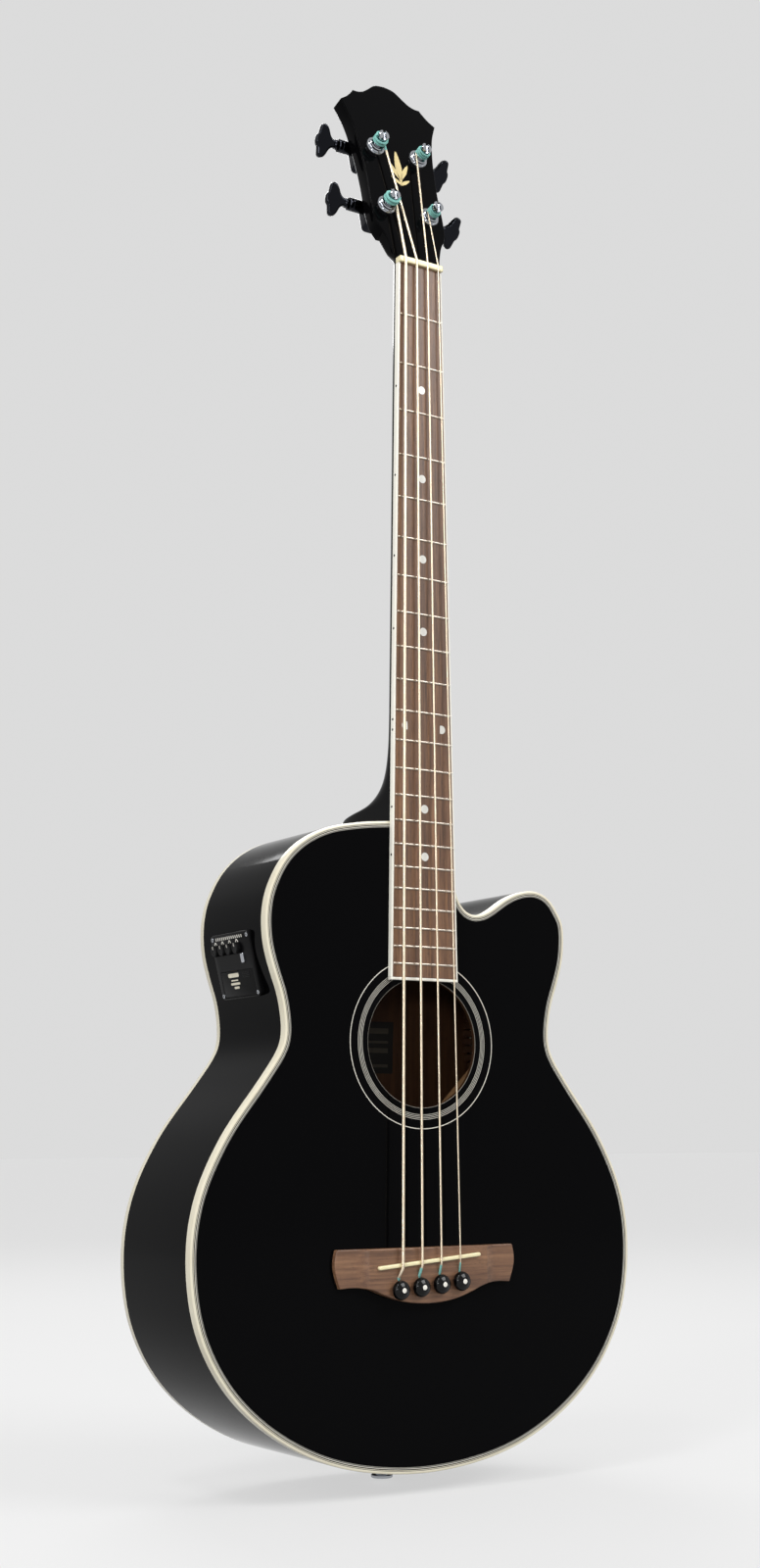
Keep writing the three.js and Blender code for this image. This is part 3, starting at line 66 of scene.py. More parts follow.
# Sizes, in millimetres where they are lengths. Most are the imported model's. The pins' heads and dots, the
# knobs' height and the neck's roundness aren't.
SCALE_LENGTH = 813.0
SEAT = 0.3
GLUE = 0.1
TAIL = 0.3139 * 497
body = SimpleNamespace(
    length=497, lower=403, waist=247, upper=283, cutaway=71, tail_depth=124.7, joint_depth=101.7,
    arch=3.5, top=3, back=2.7, rim=3, front_binding=7, back_binding=6,
)
board = SimpleNamespace(
    nut=43, end=63.4, past_fret=12.95, thickness=5.4, radius=350, rise=0.8, binding=1.6, end_binding=2.2,
    frets=22, twin_dots=17.3, twin_marks=4.2,
)
neck = SimpleNamespace(nut_depth=15.2, joint_depth=18.4, heel_depth=98, heel_length=89, round=1.8, square=6)
head = SimpleNamespace(
    tilt=math.radians(15.7), face=2.5, z=816, length=195, half=48.5, thickness=14, veneer=1.5, start=3.1,
)
hole = SimpleNamespace(radius=50)
tenon = SimpleNamespace(half=15, front=14, back=82, length=14)
nut = SimpleNamespace(thickness=5, proud=2.6, action=0.5, spacing=11, fret=1)
saddle = SimpleNamespace(
    half=47, width=3, height=2.5, floor=1.6, pickup=1.1, slope=0.083, forward=0.5, spacing=17.8,
)
bridge = SimpleNamespace(
    half=82.5, above=11, wing_below=17.6, belly=31, height=7.5, wing=4.2, scoop=54, fall=11, plate=2.8,
)
pin = SimpleNamespace(
    pitch=18.6, below=17.6, head=7.3, dot=1.9, height=8, shank=2.8, tip=1.9, length=20, setback=4.9,
)
tuner = SimpleNamespace(x=21.8, low=0.2923 * 195, high=0.618 * 195)
bushing = SimpleNamespace(flange=9, flange_height=1.6, radius=7, height=4.6, sleeve=5, sleeve_length=10)
post = SimpleNamespace(
    radius=3.8, waist=4, top=4.8, height=16.4, cap=1.8, slot=2.6, slot_depth=2.4, clear=0.5,
)
gear = SimpleNamespace(teeth=20, pitch=7.6, addendum=0.65, half=2, depth=20.6, side=10.7, reach=7.6)
housing = SimpleNamespace(half=11.4, below=11.4, above=16.4, depth=12.4, corner=4, boss=5.6, boss_end=24)
key = SimpleNamespace(shaft=2.9, start=25.6, length=19, half=14.3, thickness=6.4, stem=3.9, stem_length=2.6)
panel = SimpleNamespace(face=4.2, width=62, length=51.5, corner=4, skirt=4)
knob = SimpleNamespace(radius=4.7, height=3.2, pitch=11.5, row=13.5, shift=-7, shaft=1.6, reach=6)
press = SimpleNamespace(width=4.4, length=7.6, proud=1.3, across=15.2, row=5.4, reach=2)
tick = SimpleNamespace(count=14, first=-22.0, pitch=3.15, row=22.3, size=(1.2, 2.3, 0.14))
pointer = SimpleNamespace(row=19.1, apart=1.1, lean=math.radians(38), size=(0.9, 2.9, 0.14))
panel_screw = SimpleNamespace(across=27.6, up=22.4, out=0.1, radius=1.7, thickness=0.9)
box_room = SimpleNamespace(half=27.3, tall=23)
door = SimpleNamespace(width=51, length=20, thickness=2, bottom=-24, clear=0.35)
jack = SimpleNamespace(
    barrel=5.9, bore=3.4, inner=26, washer=9, washer_depth=1.5, neck=6.6, flange=8.6, proud=11, lip=2.4, y=62,
)
STRINGS = [
    SimpleNamespace(name="e", side=-1, s=tuner.low, gauge=2.6, turns=2, key_turn=-0.5, silk=6, wrap=0),
    SimpleNamespace(name="a", side=-1, s=tuner.high, gauge=2.1, turns=2.5, key_turn=-0.62, silk=12, wrap=8),
    SimpleNamespace(name="d", side=1, s=tuner.high, gauge=1.65, turns=3, key_turn=0.9, silk=12, wrap=0),
    SimpleNamespace(name="g", side=1, s=tuner.low, gauge=1.2, turns=3.5, key_turn=1.05, silk=12, wrap=0),
]
for order, string in enumerate(STRINGS):
    string.x_nut = nut.spacing * (order - 1.5)
    string.x_saddle = saddle.spacing * (order - 1.5)
    string.x_pin = pin.pitch * (order - 1.5)

# Points in each turn of a coil, the silk beyond its counted length at the pin's end, half the width of the
# silk's edge, and the angle in degrees over which an edge is drawn sharp
COIL_STEPS = 40
SILK_BEYOND = 10
SILK_EDGE = 0.2
SHARP_ANGLE = 35

# Outlines as shares, as in the model's source
LOWER_SHARES = [
    (0.337, 0.016), (0.605, 0.06), (0.819, 0.129), (0.953, 0.217), (1, 0.318), (0.973, 0.412),
    (0.868, 0.503), (0.71, 0.588),
]
WAIST_SHARES = [(1.025, 0.636), (1, 0.668)]
UPPER_SHARES = [(0.8975, 0.7145), (0.943, 0.7505), (0.9866, 0.791), (1, 0.829), (0.9915, 0.857)]
SHOULDER_SHARES = [(0.967, 0.883), (0.893, 0.9235), (0.774, 0.957), (0.608, 0.981), (0.396, 0.994)]
HORN_SHARES = [
    (0.965, 0.923), (0.915, 0.775), (0.845, 0.686), (0.76, 0.662), (0.664, 0.704), (0.572, 0.789),
    (0.495, 0.894), (0.424, 0.972), (0.36, 0.996), (0.304, 0.961), (0.258, 0.852), (0.233, 0.718),
    (0.2155, 0.465),
]
HEEL_SHARES = [
    (0, 1), (0.079, 0.988), (0.14, 0.94), (0.166, 0.8), (0.18, 0.65), (0.208, 0.46), (0.264, 0.297),
    (0.348, 0.171), (0.46, 0.09), (0.596, 0.04), (0.753, 0.0113), (1, 0),
]
HEEL_TAPER_SHARE = 0.24
# Where the neck goes over into the headstock: in the head's thicknesses, squareness, sunk face, slimness
LEAD_ROWS = [(0.6, 4, 1, 1), (1, 6, 0.2, 1), (1.5, 8, 0.2, 1), (2, 8, 0.2, 1), (2.5, 8, 0.6, 0.95)]
HEAD_SIDE_SHARES = [
    (0.46, 0), (0.49, 0.05), (0.585, 0.13), (0.71, 0.195), (0.745, 0.29), (0.74, 0.42), (0.757, 0.53),
    (0.8, 0.65), (0.875, 0.76), (1, 0.849),
]
HEAD_TOP_SHARES = [(1, 0.849), (0.87, 0.873), (0.765, 0.902), (0.71, 0.921)]
HEAD_CROWN_SHARES = [(0.71, 0.921), (0.6, 0.922), (0.49, 0.932), (0.38, 0.953), (0.2, 0.99), (0, 1)]
BELLY_SHARES = [
    (0.945, 0.568), (0.83, 0.553), (0.735, 0.565), (0.62, 0.622), (0.49, 0.755), (0.335, 0.89),
    (0.165, 0.974), (0, 1),
]
BUTTON_SHARES = [
    (0, 0.25), (0.16, 0.26), (0.3, 0.42), (0.43, 0.76), (0.56, 0.96), (0.7, 1), (0.82, 0.88), (0.86, 0.62),
    (0.89, 0.4), (0.96, 0.28), (1, 0.12),
]

JOINT = body.length - TAIL


def fret_place(number):
    """Height of a fret above the saddle line."""
    return SCALE_LENGTH * 2 ** (-number / 12)


BOARD_END = fret_place(board.frets) - board.past_fret
HOLE_Z = BOARD_END - hole.radius + 1.8


def board_half(z):
    """Half the fretboard's width at a height."""
    return np.interp(z, [BOARD_END, SCALE_LENGTH], [board.end / 2, board.nut / 2])


def board_under(z):
    """The fretboard's flat underside."""
    return -GLUE - board.rise * (z - BOARD_END) / (SCALE_LENGTH - BOARD_END)


def board_top(x, z):
    """The fretboard's round playing face."""
    return board_under(z) - board.thickness + x * x / (2 * board.radius)


def back_depth(x, z):
    """The body's back, arched across and deeper at the tail."""
    flat = np.interp(z, [-TAIL, JOINT], [body.tail_depth, body.joint_depth])
    return flat + body.arch * (1 - (x / (body.lower / 2)) ** 2)


# Shader and geometry nodes


class Wire:
    """A node's output that takes part in sums."""

    def __init__(self, nodes, socket):
        self.nodes = nodes
        self.socket = socket

    def out(self, name):
        """Another output of the same node."""
        return Wire(self.nodes, self.socket.node.outputs[name])

    def _sum(self, operation, first, second=None):
        values = {0: first} if second is None else {0: first, 1: second}
        return self.nodes.node("ShaderNodeMath", {"operation": operation}, values)

    def __add__(self, other):
        return self._sum("ADD", self, other)

    def __radd__(self, other):
        return self._sum("ADD", other, self)

    def __sub__(self, other):
        return self._sum("SUBTRACT", self, other)

    def __rsub__(self, other):
        return self._sum("SUBTRACT", other, self)

    def __mul__(self, other):
        return self._sum("MULTIPLY", self, other)

    def __rmul__(self, other):
        return self._sum("MULTIPLY", other, self)

    def __truediv__(self, other):
        return self._sum("DIVIDE", self, other)

    def __rtruediv__(self, other):
        return self._sum("DIVIDE", other, self)

    def __pow__(self, other):
        return self._sum("POWER", self, other)

    def __rpow__(self, other):
        return self._sum("POWER", other, self)

    def __abs__(self):
        return self._sum("ABSOLUTE", self)

    def __gt__(self, other):
        return self._sum("GREATER_THAN", self, other)

    def __lt__(self, other):
        return self._sum("LESS_THAN", self, other)

    def sine(self):
        """Its sine, in radians."""
        return self._sum("SINE", self)

    def fraction(self):
        """What is left over the whole number below it."""
        return self._sum("FRACT", self)

    def lesser(self, other):
        """The smaller of two values."""
        return self._sum("MINIMUM", self, other)

    def greater(self, other):
        """The larger of two values."""
        return self._sum("MAXIMUM", self, other)

    def clipped(self):
        """Held between 0 and 1."""
        return self.lesser(1.0).greater(0.0)


class Nodes:
    """Adds nodes to a shader or geometry tree."""

    def __init__(self, tree):
        self.tree = tree

    def node(self, kind, settings=None, inputs=None, output=0):
        """Adds one node: its settings first, then the values or links of its sockets."""
        made = self.tree.nodes.new(kind)
        for name, value in (settings or {}).items():
            if name == "stops":
                self._set_stops(made.color_ramp, value)
            else:
                setattr(made, name, value)
        for name, value in (inputs or {}).items():
            if isinstance(value, Wire):
                self.tree.links.new(value.socket, made.inputs[name])
            else:
                made.inputs[name].default_value = value
        return Wire(self, made.outputs[output]) if len(made.outputs) else made

    def _set_stops(self, ramp, stops):
        while len(ramp.elements) < len(stops):
            ramp.elements.new(0.5)
        for element, (place, colour) in zip(ramp.elements, stops):
            element.position = place
            element.color = colour

    def blend(self, share, first, second):
        """Mixes two colours."""
        settings = {"data_type": "RGBA"}
        return self.node("ShaderNodeMix", settings, {0: share, 6: first, 7: second}, 2)

    def place(self):
        """The surface's place in instrument millimetres, as a vector."""
        at = self.node("ShaderNodeTexCoord", output="Object")
        settings = {"operation": "MULTIPLY_ADD"}
        return self.node("ShaderNodeVectorMath", settings, {0: at, 1: (1 / MM,) * 3, 2: tuple(ORIGIN)})

    def split(self, vector):
        """The three parts of a vector."""
        first = self.node("ShaderNodeSeparateXYZ", None, {0: vector})
        return first, first.out("Y"), first.out("Z")

    def stretched(self, vector, stretch):
        """A vector times a stretch along each axis."""
        return self.node("ShaderNodeVectorMath", {"operation": "MULTIPLY"}, {0: vector, 1: stretch})

    def noise(self, vector, scale, detail=3.0, roughness=0.5):
        """Smooth noise from 0 to 1."""
        values = {"Vector": vector, "Scale": scale, "Detail": detail, "Roughness": roughness}
        return self.node("ShaderNodeTexNoise", None, values)

    def attribute(self, name):
        """A number kept on the mesh's points."""
        return self.node("ShaderNodeAttribute", {"attribute_name": name}, output="Fac")

    def bump(self, height, distance, strength=1.0):
        """A relief in millimetres."""
        values = {"Height": height, "Distance": distance * MM, "Strength": strength}
        return self.node("ShaderNodeBump", None, values)


def tone(text):
    """A colour written as six hexadecimal figures, as linear light."""
    parts = [int(text[i : i + 2], 16) / 255 for i in (0, 2, 4)]
    return tuple(c / 12.92 if c <= 0.04045 else ((c + 0.055) / 1.055) ** 2.4 for c in parts) + (1.0,)


def opaque(colour):
    """A setting's colour with full opacity."""
    return tuple(colour) + (1.0,)


def finish_of(name, **sockets):
    """A material with a principled shader; sockets hold numbers, colours or wires by socket name."""
    material = bpy.data.materials.new(name)
    material.use_nodes = True
    nodes = Nodes(material.node_tree)
    nodes.tree.nodes.clear()
    made = sockets.pop("wires")(nodes) if "wires" in sockets else {}
    made.update({label.replace("_", " "): value for label, value in sockets.items()})
    shader = nodes.node("ShaderNodeBsdfPrincipled", None, made)
    nodes.node("ShaderNodeOutputMaterial", None, {"Surface": shader})
    return material


# Finishes

FINISHES = {}


def finish(name):
    """The material of that name, made the first time that it is asked for."""
    if name not in FINISHES:
        FINISHES[name] = MAKERS[name](name)
    return FINISHES[name]


def gloss(nodes):
    """Faint unevenness of polished lacquer: roughness and relief."""
    at = nodes.place()
    haze = nodes.noise(at, 0.02, 4.0, 0.6)
    ripple = nodes.noise(at, 0.12, 2.0)
    return haze * 0.05 + 0.05, nodes.bump(ripple, 0.05, 0.35)


LACQUER_GLOSS = 0.03


def lacquer(name):
    """Black gloss lacquer."""

    def wires(nodes):
        rough, relief = gloss(nodes)
        return {"Roughness": rough, "Normal": relief}

    colour = opaque(bpy.context.scene.bass_body.lacquer)
    return finish_of(name, wires=wires, Base_Color=colour, Specular_IOR_Level=LACQUER_GLOSS)


def line_mask(distance, middle, width):
    """1 on a line of that width where a distance equals the middle, with a soft edge."""
    return ((width / 2 - abs(distance - middle)) / 0.16 + 0.5).clipped()


def soundboard_finish(name):
    """The lacquered soundboard with its rings round the soundhole and lines beside the binding."""
    settings = bpy.context.scene.bass_body

    def wires(nodes):
        rough, relief = gloss(nodes)
        x, y, z = nodes.split(nodes.place())
        radius = (x * x + (z - HOLE_Z) * (z - HOLE_Z)) ** 0.5
        edge = nodes.attribute("edge")
        mask = line_mask(radius, settings.outer_ring / MM, 0.62)
        for i in range(settings.ring_lines):
            mask = mask.greater(line_mask(radius, settings.inner_ring / MM + 1.2 * i, 0.3))
        mask = mask.greater(line_mask(radius, hole.radius + 0.35, 0.4) * 0.35)
        mask = mask.greater(line_mask(edge, 3.95, 0.45)).greater(line_mask(edge, 4.85, 0.3) * 0.6)
        base = nodes.blend(mask, opaque(settings.lacquer), tone("e6e2d6"))
        wall = (y > 0.15) * (radius < hole.radius + 1)
        return {"Base Color": nodes.blend(wall, base, tone("3c2a1e")), "Roughness": rough, "Normal": relief}

    return finish_of(name, wires=wires, Specular_IOR_Level=LACQUER_GLOSS)


def ivory(name):
    """Cream plastic with a faint grain; beside the fretboard it is painted whiter, as painted light."""
    first = opaque(bpy.context.scene.bass_body.binding)
    # painted light: the strips beside the fretboard get a whiter copy of the same cream
    pair = (tone("f8f6ec"), tone("e8e3d3")) if name == "pale_ivory" else (first, tone("cfc4a4"))

    def wires(nodes):
        at = nodes.place()
        grain = nodes.noise(nodes.stretched(at, (0.9, 0.9, 0.08)), 1.0, 3.0)
        cloud = nodes.noise(at, 0.03, 2.0)
        base = nodes.blend(grain * 0.35 + cloud * 0.35, *pair)
        return {"Base Color": base, "Roughness": cloud * 0.12 + 0.22, "Normal": nodes.bump(grain, 0.02, 0.3)}

    return finish_of(name, wires=wires, Coat_Weight=0.25, Coat_Roughness=0.08)


def edged_ivory(name):
    """The front binding: cream with two fine dark lines along its inner edge."""

    def wires(nodes):
        at = nodes.place()
        y = nodes.split(at)[1]
        edge = nodes.attribute("edge")
        cloud = nodes.noise(at, 0.05, 2.0)
        cream = nodes.blend(cloud * 0.6, opaque(bpy.context.scene.bass_body.binding), tone("cfc4a4"))
        front = y < 0.4
        dark = line_mask(edge, 2.3, 0.45).greater(line_mask(edge, 3.2, 0.5)) * front
        return {"Base Color": nodes.blend(dark, cream, tone("3a3a3a")), "Roughness": cloud * 0.1 + 0.2}

    return finish_of(name, wires=wires, Coat_Weight=0.3, Coat_Roughness=0.06)


def wood(dark, mid, pale, along, coarse=1.0, rough=0.45, coat=0.0, relief=0.05):
    """A maker of wood whose grain runs along one axis; the tones go from its pores to its pale streaks."""

    def maker(name):
        def wires(nodes):
            at = nodes.place()
            stretch = tuple(0.035 if axis == along else 1.0 for axis in "xyz")
            long = nodes.stretched(at, stretch)
            wander = nodes.noise(nodes.stretched(at, tuple(0.3 * s for s in stretch)), 0.25, 2.0)
            bands = nodes.noise(long, 0.32 * coarse, 4.0, 0.6)
            fine = nodes.noise(long, 1.7 * coarse, 3.0, 0.65)
            short = tuple(0.1 if axis == along else 1.0 for axis in "xyz")
            pores = nodes.noise(nodes.stretched(at, short), 2.6, 1.0)
            share = (bands * 0.9 + wander * 0.5 + fine * 0.35 - 0.38).clipped()
            stops = [(0.15, tone(dark)), (0.45, tone(mid)), (0.85, tone(pale))]
            base = nodes.node("ShaderNodeValToRGB", {"stops": stops}, {"Fac": share})
            pits = ((pores - 0.62) * 9.0).clipped()
            base = nodes.blend(pits * 0.55, base, tone(dark))
            return {
                "Base Color": base,
                "Roughness": fine * 0.18 + pits * 0.1 + (rough - 0.1),
                "Normal": nodes.bump(fine - pits * 0.6, relief, 0.6),
            }

        return finish_of(name, wires=wires, Coat_Weight=coat, Coat_Roughness=0.15)

    return maker


def metal(colour, rough, spread=0.06, scale=0.2, scratch=0.0):
    """A maker of metal with faint smudges and, if asked, fine scratches."""

    def maker(name):
        def wires(nodes):
            at = nodes.place()
            smudge = nodes.noise(at, scale, 4.0, 0.6)
            fine = nodes.noise(nodes.stretched(at, (3.0, 3.0, 0.2)), 2.0, 2.0)
            return {
                "Roughness": smudge * spread + fine * scratch + (rough - spread / 2),
                "Normal": nodes.bump(fine, 0.01, 0.15 + scratch),
            }

        return finish_of(name, wires=wires, Base_Color=tone(colour), Metallic=1.0)

    return maker


def plastic(colour, rough, grain=0.02, coat=0.0, gloss=0.5):
    """A maker of moulded plastic with a fine grain."""

    def maker(name):
        def wires(nodes):
            at = nodes.place()
            fine = nodes.noise(at, 2.4, 2.0)
            cloud = nodes.noise(at, 0.08, 2.0)
            return {"Roughness": cloud * 0.1 + (rough - 0.05), "Normal": nodes.bump(fine, grain, 0.5)}

        shine = {"Coat_Weight": coat, "Coat_Roughness": 0.05, "Specular_IOR_Level": gloss}
        return finish_of(name, wires=wires, Base_Color=tone(colour), **shine)

    return maker


def string_finish(name):
    """Bronze winding on a core, with silk wrapped over its ends; the grooves between turns and threads carry
    painted shade.
    """
    settings = bpy.context.scene.bass_strings

    def wires(nodes):
        uv = nodes.node("ShaderNodeUVMap", {"uv_map": "UVMap"})
        around, along, unused = nodes.split(uv)
        silk = nodes.attribute("silk")
        turn = (along / (settings.winding / MM) + around).fraction()
        ridge = 1 - abs(turn * 2 - 1) ** 2.0
        thread = ((along * 2.2 + around * 2).fraction() * 6.2832).sine()
        # painted shade: the winding darkens into the grooves between its turns and is lightest on their
        # crests
        shade = nodes.blend(ridge, tone("b09a7c"), opaque(settings.bronze))
        # painted shade: the silk turns a darker teal in the gaps between its threads
        cloth = nodes.blend(thread * 0.3 + 0.6, tone("2f8680"), opaque(settings.silk))
        return {
            "Base Color": nodes.blend(silk, shade, cloth),
            "Metallic": 1 - silk,
            "Roughness": silk * 0.5 + 0.34,
            "Normal": nodes.bump(ridge * (1 - silk) + thread * silk * 0.5, 0.08, 0.5),
        }

    return finish_of(name, wires=wires)


def foil(name):
    """The battery's printed metal jacket, bare of words: a dark band and a pale one."""

    def wires(nodes):
        at = nodes.place()
        y = nodes.split(at)[1]
        band = ((y - 60) * 0.8).clipped()
        crease = nodes.noise(at, 0.4, 3.0)
        base = nodes.blend(band, tone("26282b"), tone("b58a3a"))
        return {"Base Color": base, "Roughness": crease * 0.1 + 0.25, "Normal": nodes.bump(crease, 0.05, 0.3)}

    return finish_of(name, wires=wires, Metallic=0.7)


MAKERS = {
    "lacquer": lacquer,
    "soundboard": soundboard_finish,
    "ivory": ivory,
    # painted light: a whiter copy of the cream for the strips beside the fretboard
    "pale_ivory": ivory,
    "edged_ivory": edged_ivory,
    "bone": plastic("efe4b8", 0.3, 0.01, coat=0.2),
    "fretboard": wood("33231a", "674935", "9c7250", "z", coarse=1.5, rough=0.42),
    "bridge": wood("402b1f", "6f4f3a", "9a7456", "x", coarse=1.2, rough=0.42),
    "inside": wood("2a170b", "472a15", "634022", "z", coarse=0.5, rough=0.6),
    "lining": wood("2f1b0f", "4d301d", "67462c", "y", coarse=0.7, rough=0.7),
    # painted shade: both spruce finishes are darker than bare spruce, for the dim inside of the body
    "spruce": wood("4b3620", "66492b", "7d613f", "z", coarse=1.3, rough=0.65),
    "spruce_across": wood("4b3620", "66492b", "7d613f", "x", coarse=1.3, rough=0.65),
    "mahogany": wood("35180d", "5a2f1b", "7c4629", "z", coarse=0.7, rough=0.6),
    "chrome": metal("aeb1b6", 0.09),
    "dark_chrome": metal("1f2024", 0.09),
    "fret_metal": metal("b8aea2", 0.22, scratch=0.05),
    "steel": metal("8d9094", 0.34, scratch=0.1),
    "gold": plastic("d9c68c", 0.3, 0.01, coat=0.3),
    "black_plastic": plastic("0b0b0c", 0.3, 0.03, gloss=0.06),
    "black_gloss": plastic("040405", 0.08, 0.004, gloss=0.22),
    "black_satin": plastic("121213", 0.42, 0.06, gloss=0.1),
    "white_plastic": plastic("efece2", 0.3, 0.01, coat=0.2),
    "card": plastic("191512", 0.6, 0.02),
    "card_band": plastic("4d473c", 0.6, 0.02),
    "pearl": plastic("e4e3dc", 0.22, 0.01, coat=0.5),
    "string": string_finish,
    "foil": foil,
}


# Meshes


def grid_faces(rows, columns, loop_rows=False, loop_columns=True, caps=False):
    """Quads between rows of points, joined round each row, and if asked from last row to first."""
    faces = []
    for row in range(rows if loop_rows else rows - 1):
        below = row * columns
        above = (row + 1) % rows * columns
        for column in range(columns if loop_columns else columns - 1):
            beside = (column + 1) % columns
            faces.append((below + column, below + beside, above + beside, above + column))
    if caps:
        faces.append(tuple(range(columns)))
        faces.append(tuple((rows - 1) * columns + c for c in reversed(range(columns))))
    return faces


def mesh_of(name, points, faces, finishes, marks=None, indexes=None, smooth=SHARP_ANGLE, uv=None):
    """An object from instrument millimetres, with its normals outwards and smooth below an angle."""
    mesh = bpy.data.meshes.new(name)
    place = (np.asarray(points, float).reshape(-1, 3) - ORIGIN) * MM
    mesh.from_pydata(place.tolist(), [], faces)
    for label, values in (marks or {}).items():
        mesh.attributes.new(label, "FLOAT", "POINT").data.foreach_set("value", np.asarray(values, np.float32))
    if uv is not None:
        mesh.uv_layers.new(name="UVMap").data.foreach_set("uv", np.asarray(uv, np.float32).ravel())
    if indexes is not None:
        mesh.polygons.foreach_set("material_index", np.asarray(indexes, np.int32))
    for label in finishes:
        mesh.materials.append(finish(label))
    tidy_mesh(mesh)
    smooth_below(mesh, smooth)
    made = bpy.data.objects.new(name, mesh)
    bpy.context.scene.collection.objects.link(made)
    return made


def smooth_below(mesh, angle=SHARP_ANGLE):
    """Shades a mesh smooth where its faces meet at less than an angle in degrees."""
    mesh.shade_smooth()
    mesh.set_sharp_from_angle(angle=math.radians(angle))


def tidy_mesh(mesh):
    """Merges doubles and turns the faces outwards."""
    build = bmesh.new()
    build.from_mesh(mesh)
    bmesh.ops.remove_doubles(build, verts=build.verts, dist=0.002 * MM)
    bmesh.ops.dissolve_degenerate(build, edges=build.edges, dist=0.001 * MM)
    bmesh.ops.recalc_face_normals(build, faces=build.faces)
    build.to_mesh(mesh)
    build.free()


def to_mesh(made):
    """Turns an object's modifiers into plain mesh."""
    graph = bpy.context.evaluated_depsgraph_get()
    mesh = bpy.data.meshes.new_from_object(
        made.evaluated_get(graph), preserve_all_data_layers=True, depsgraph=graph
    )
    made.modifiers.clear()
    old = made.data
    made.data = mesh
    bpy.data.meshes.remove(old)


def bevel(made, width, segments=2):
    """Rounds an object's sharp edges."""
    edge = made.modifiers.new("edges", "BEVEL")
    edge.width = width * MM
    edge.segments = segments
    edge.limit_method = "ANGLE"
    edge.angle_limit = math.radians(40)
    edge.harden_normals = False
    edge.use_clamp_overlap = True
    to_mesh(made)
    smooth_below(made.data)
    return made


def carve(made, *cutters):
    """Cuts other objects out of one and removes them."""
    for cutter in cutters:
        cut = made.modifiers.new("cut", "BOOLEAN")
        cut.operation = "DIFFERENCE"
        cut.solver = "EXACT"
        cut.object = cutter
    bpy.context.view_layer.update()
    to_mesh(made)
    for cutter in cutters:
        bpy.data.objects.remove(cutter)
    made.data.set_sharp_from_angle(angle=math.radians(SHARP_ANGLE))


FLAT = 0.9995  # how near a face looks along a direction to count as flat


def flat_faces(made, out):
    """Shades the faces that look along one direction flat, and the others smooth."""
    for face in made.data.polygons:
        face.use_smooth = abs(face.normal.dot(out)) < FLAT


def joined(parts):
    """Several objects as one."""
    first = parts[0]
    if len(parts) > 1:
        with bpy.context.temp_override(
            active_object=first, selected_objects=parts, selected_editable_objects=parts
        ):
            bpy.ops.object.join()
    return first


def settle(made, name, rides, slot, *nodes):
    """Names a finished piece, lets it ride on its body and hides the model's nodes that it stands in for."""
    made.name = name
    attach(made, rides)
    if nodes:
        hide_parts(*nodes)


def curve(rows, steps=8):
    """A smooth curve through points, as the model's source draws it."""
    p = np.asarray(rows, float)
    parts = []
    share = np.linspace(0, 1, steps, endpoint=False)[:, None]
    for i in range(len(p) - 1):
        before, here, there, after = p[max(i - 1, 0)], p[i], p[i + 1], p[min(i + 2, len(p) - 1)]
        start, end = (there - before) / 2, (after - here) / 2
        cubic = 2 * here - 2 * there + start + end
        square = -3 * here + 3 * there - 2 * start - end
        parts.append(((cubic * share + square) * share + start) * share + here)
    return np.vstack(parts + [p[-1:]])


def inset(ring, distance):
    """A closed outline moved inwards."""
    area = np.sum(ring[:, 0] * np.roll(ring[:, 1], -1) - np.roll(ring[:, 0], -1) * ring[:, 1])
    turn = math.copysign(1, area)
    step = np.roll(ring, -1, 0) - ring
    step /= np.maximum(np.linalg.norm(step, axis=1, keepdims=True), 1e-9)
    out = turn * np.c_[-step[:, 1], step[:, 0]]
    into = np.roll(out, 1, 0)
    reach = distance / np.maximum(1 + np.sum(out * into, axis=1), 0.3)
    return ring + (out + into) * reach[:, None]


def slab(outline, low, high, low_edge=0.0, high_edge=0.0, steps=3):
    """Rows of points of a straight-sided block with rounded edges: across, up and height."""
    rows = []
    for edge, level, sign in ((low_edge, low, 1), (high_edge, high, -1)):
        turns = np.linspace(0, math.pi / 2, steps + 1) if edge else [math.pi / 2]
        part = [(edge * (1 - math.sin(t)), level + sign * edge * (1 - math.cos(t))) for t in turns]
        rows += part if sign > 0 else part[::-1]
    rings = [np.c_[inset(outline, back), np.full(len(outline), height)] for back, height in rows]
    return np.array(rings)


def block_of(name, rows, to_place, finishes, **extra):
    """A closed block from rows of points and the function that places them."""
    points = to_place(*np.asarray(rows).reshape(-1, 3).T)
    faces = grid_faces(len(rows), rows.shape[1], caps=True)
    return mesh_of(name, points, faces, finishes, **extra)


def turned(name, profile, to_place, finishes, sides=32, index_of=None, ring=False):
    """A turned piece: radius and height rows spun round, placed by a function of across, up and height."""
    profile = np.asarray(profile, float)
    angles = np.arange(sides) * 2 * math.pi / sides
    across = profile[:, :1] * np.cos(angles)
    up = profile[:, :1] * np.sin(angles)
    height = np.repeat(profile[:, 1:2], sides, 1)
    faces = grid_faces(len(profile), sides, loop_rows=ring)
    points = to_place(across.ravel(), up.ravel(), height.ravel())
    indexes = None
    if index_of:
        indexes = [index_of(row) for row in range(len(faces) // sides) for unused in range(sides)]
    return mesh_of(name, points, faces, finishes, indexes=indexes)


def rounded(x0, x1, z0, z1, radius, steps=6):
    """A rectangle with round corners."""
    corners = [(x1, z0, -1), (x1, z1, 0), (x0, z1, 1), (x0, z0, 2)]
    points = []
    for x, z, quarter in corners:
        centre = (x - math.copysign(radius, x - (x0 + x1) / 2), z - math.copysign(radius, z - (z0 + z1) / 2))
        for turn in np.linspace(quarter, quarter + 1, steps + 1) * math.pi / 2:
            points.append((centre[0] + radius * math.cos(turn), centre[1] + radius * math.sin(turn)))
    return np.array(points)


def circle(x, z, radius, sides=24):
    """A round outline."""
    angles = np.arange(sides) * 2 * math.pi / sides
    return np.c_[x + radius * np.cos(angles), z + radius * np.sin(angles)]


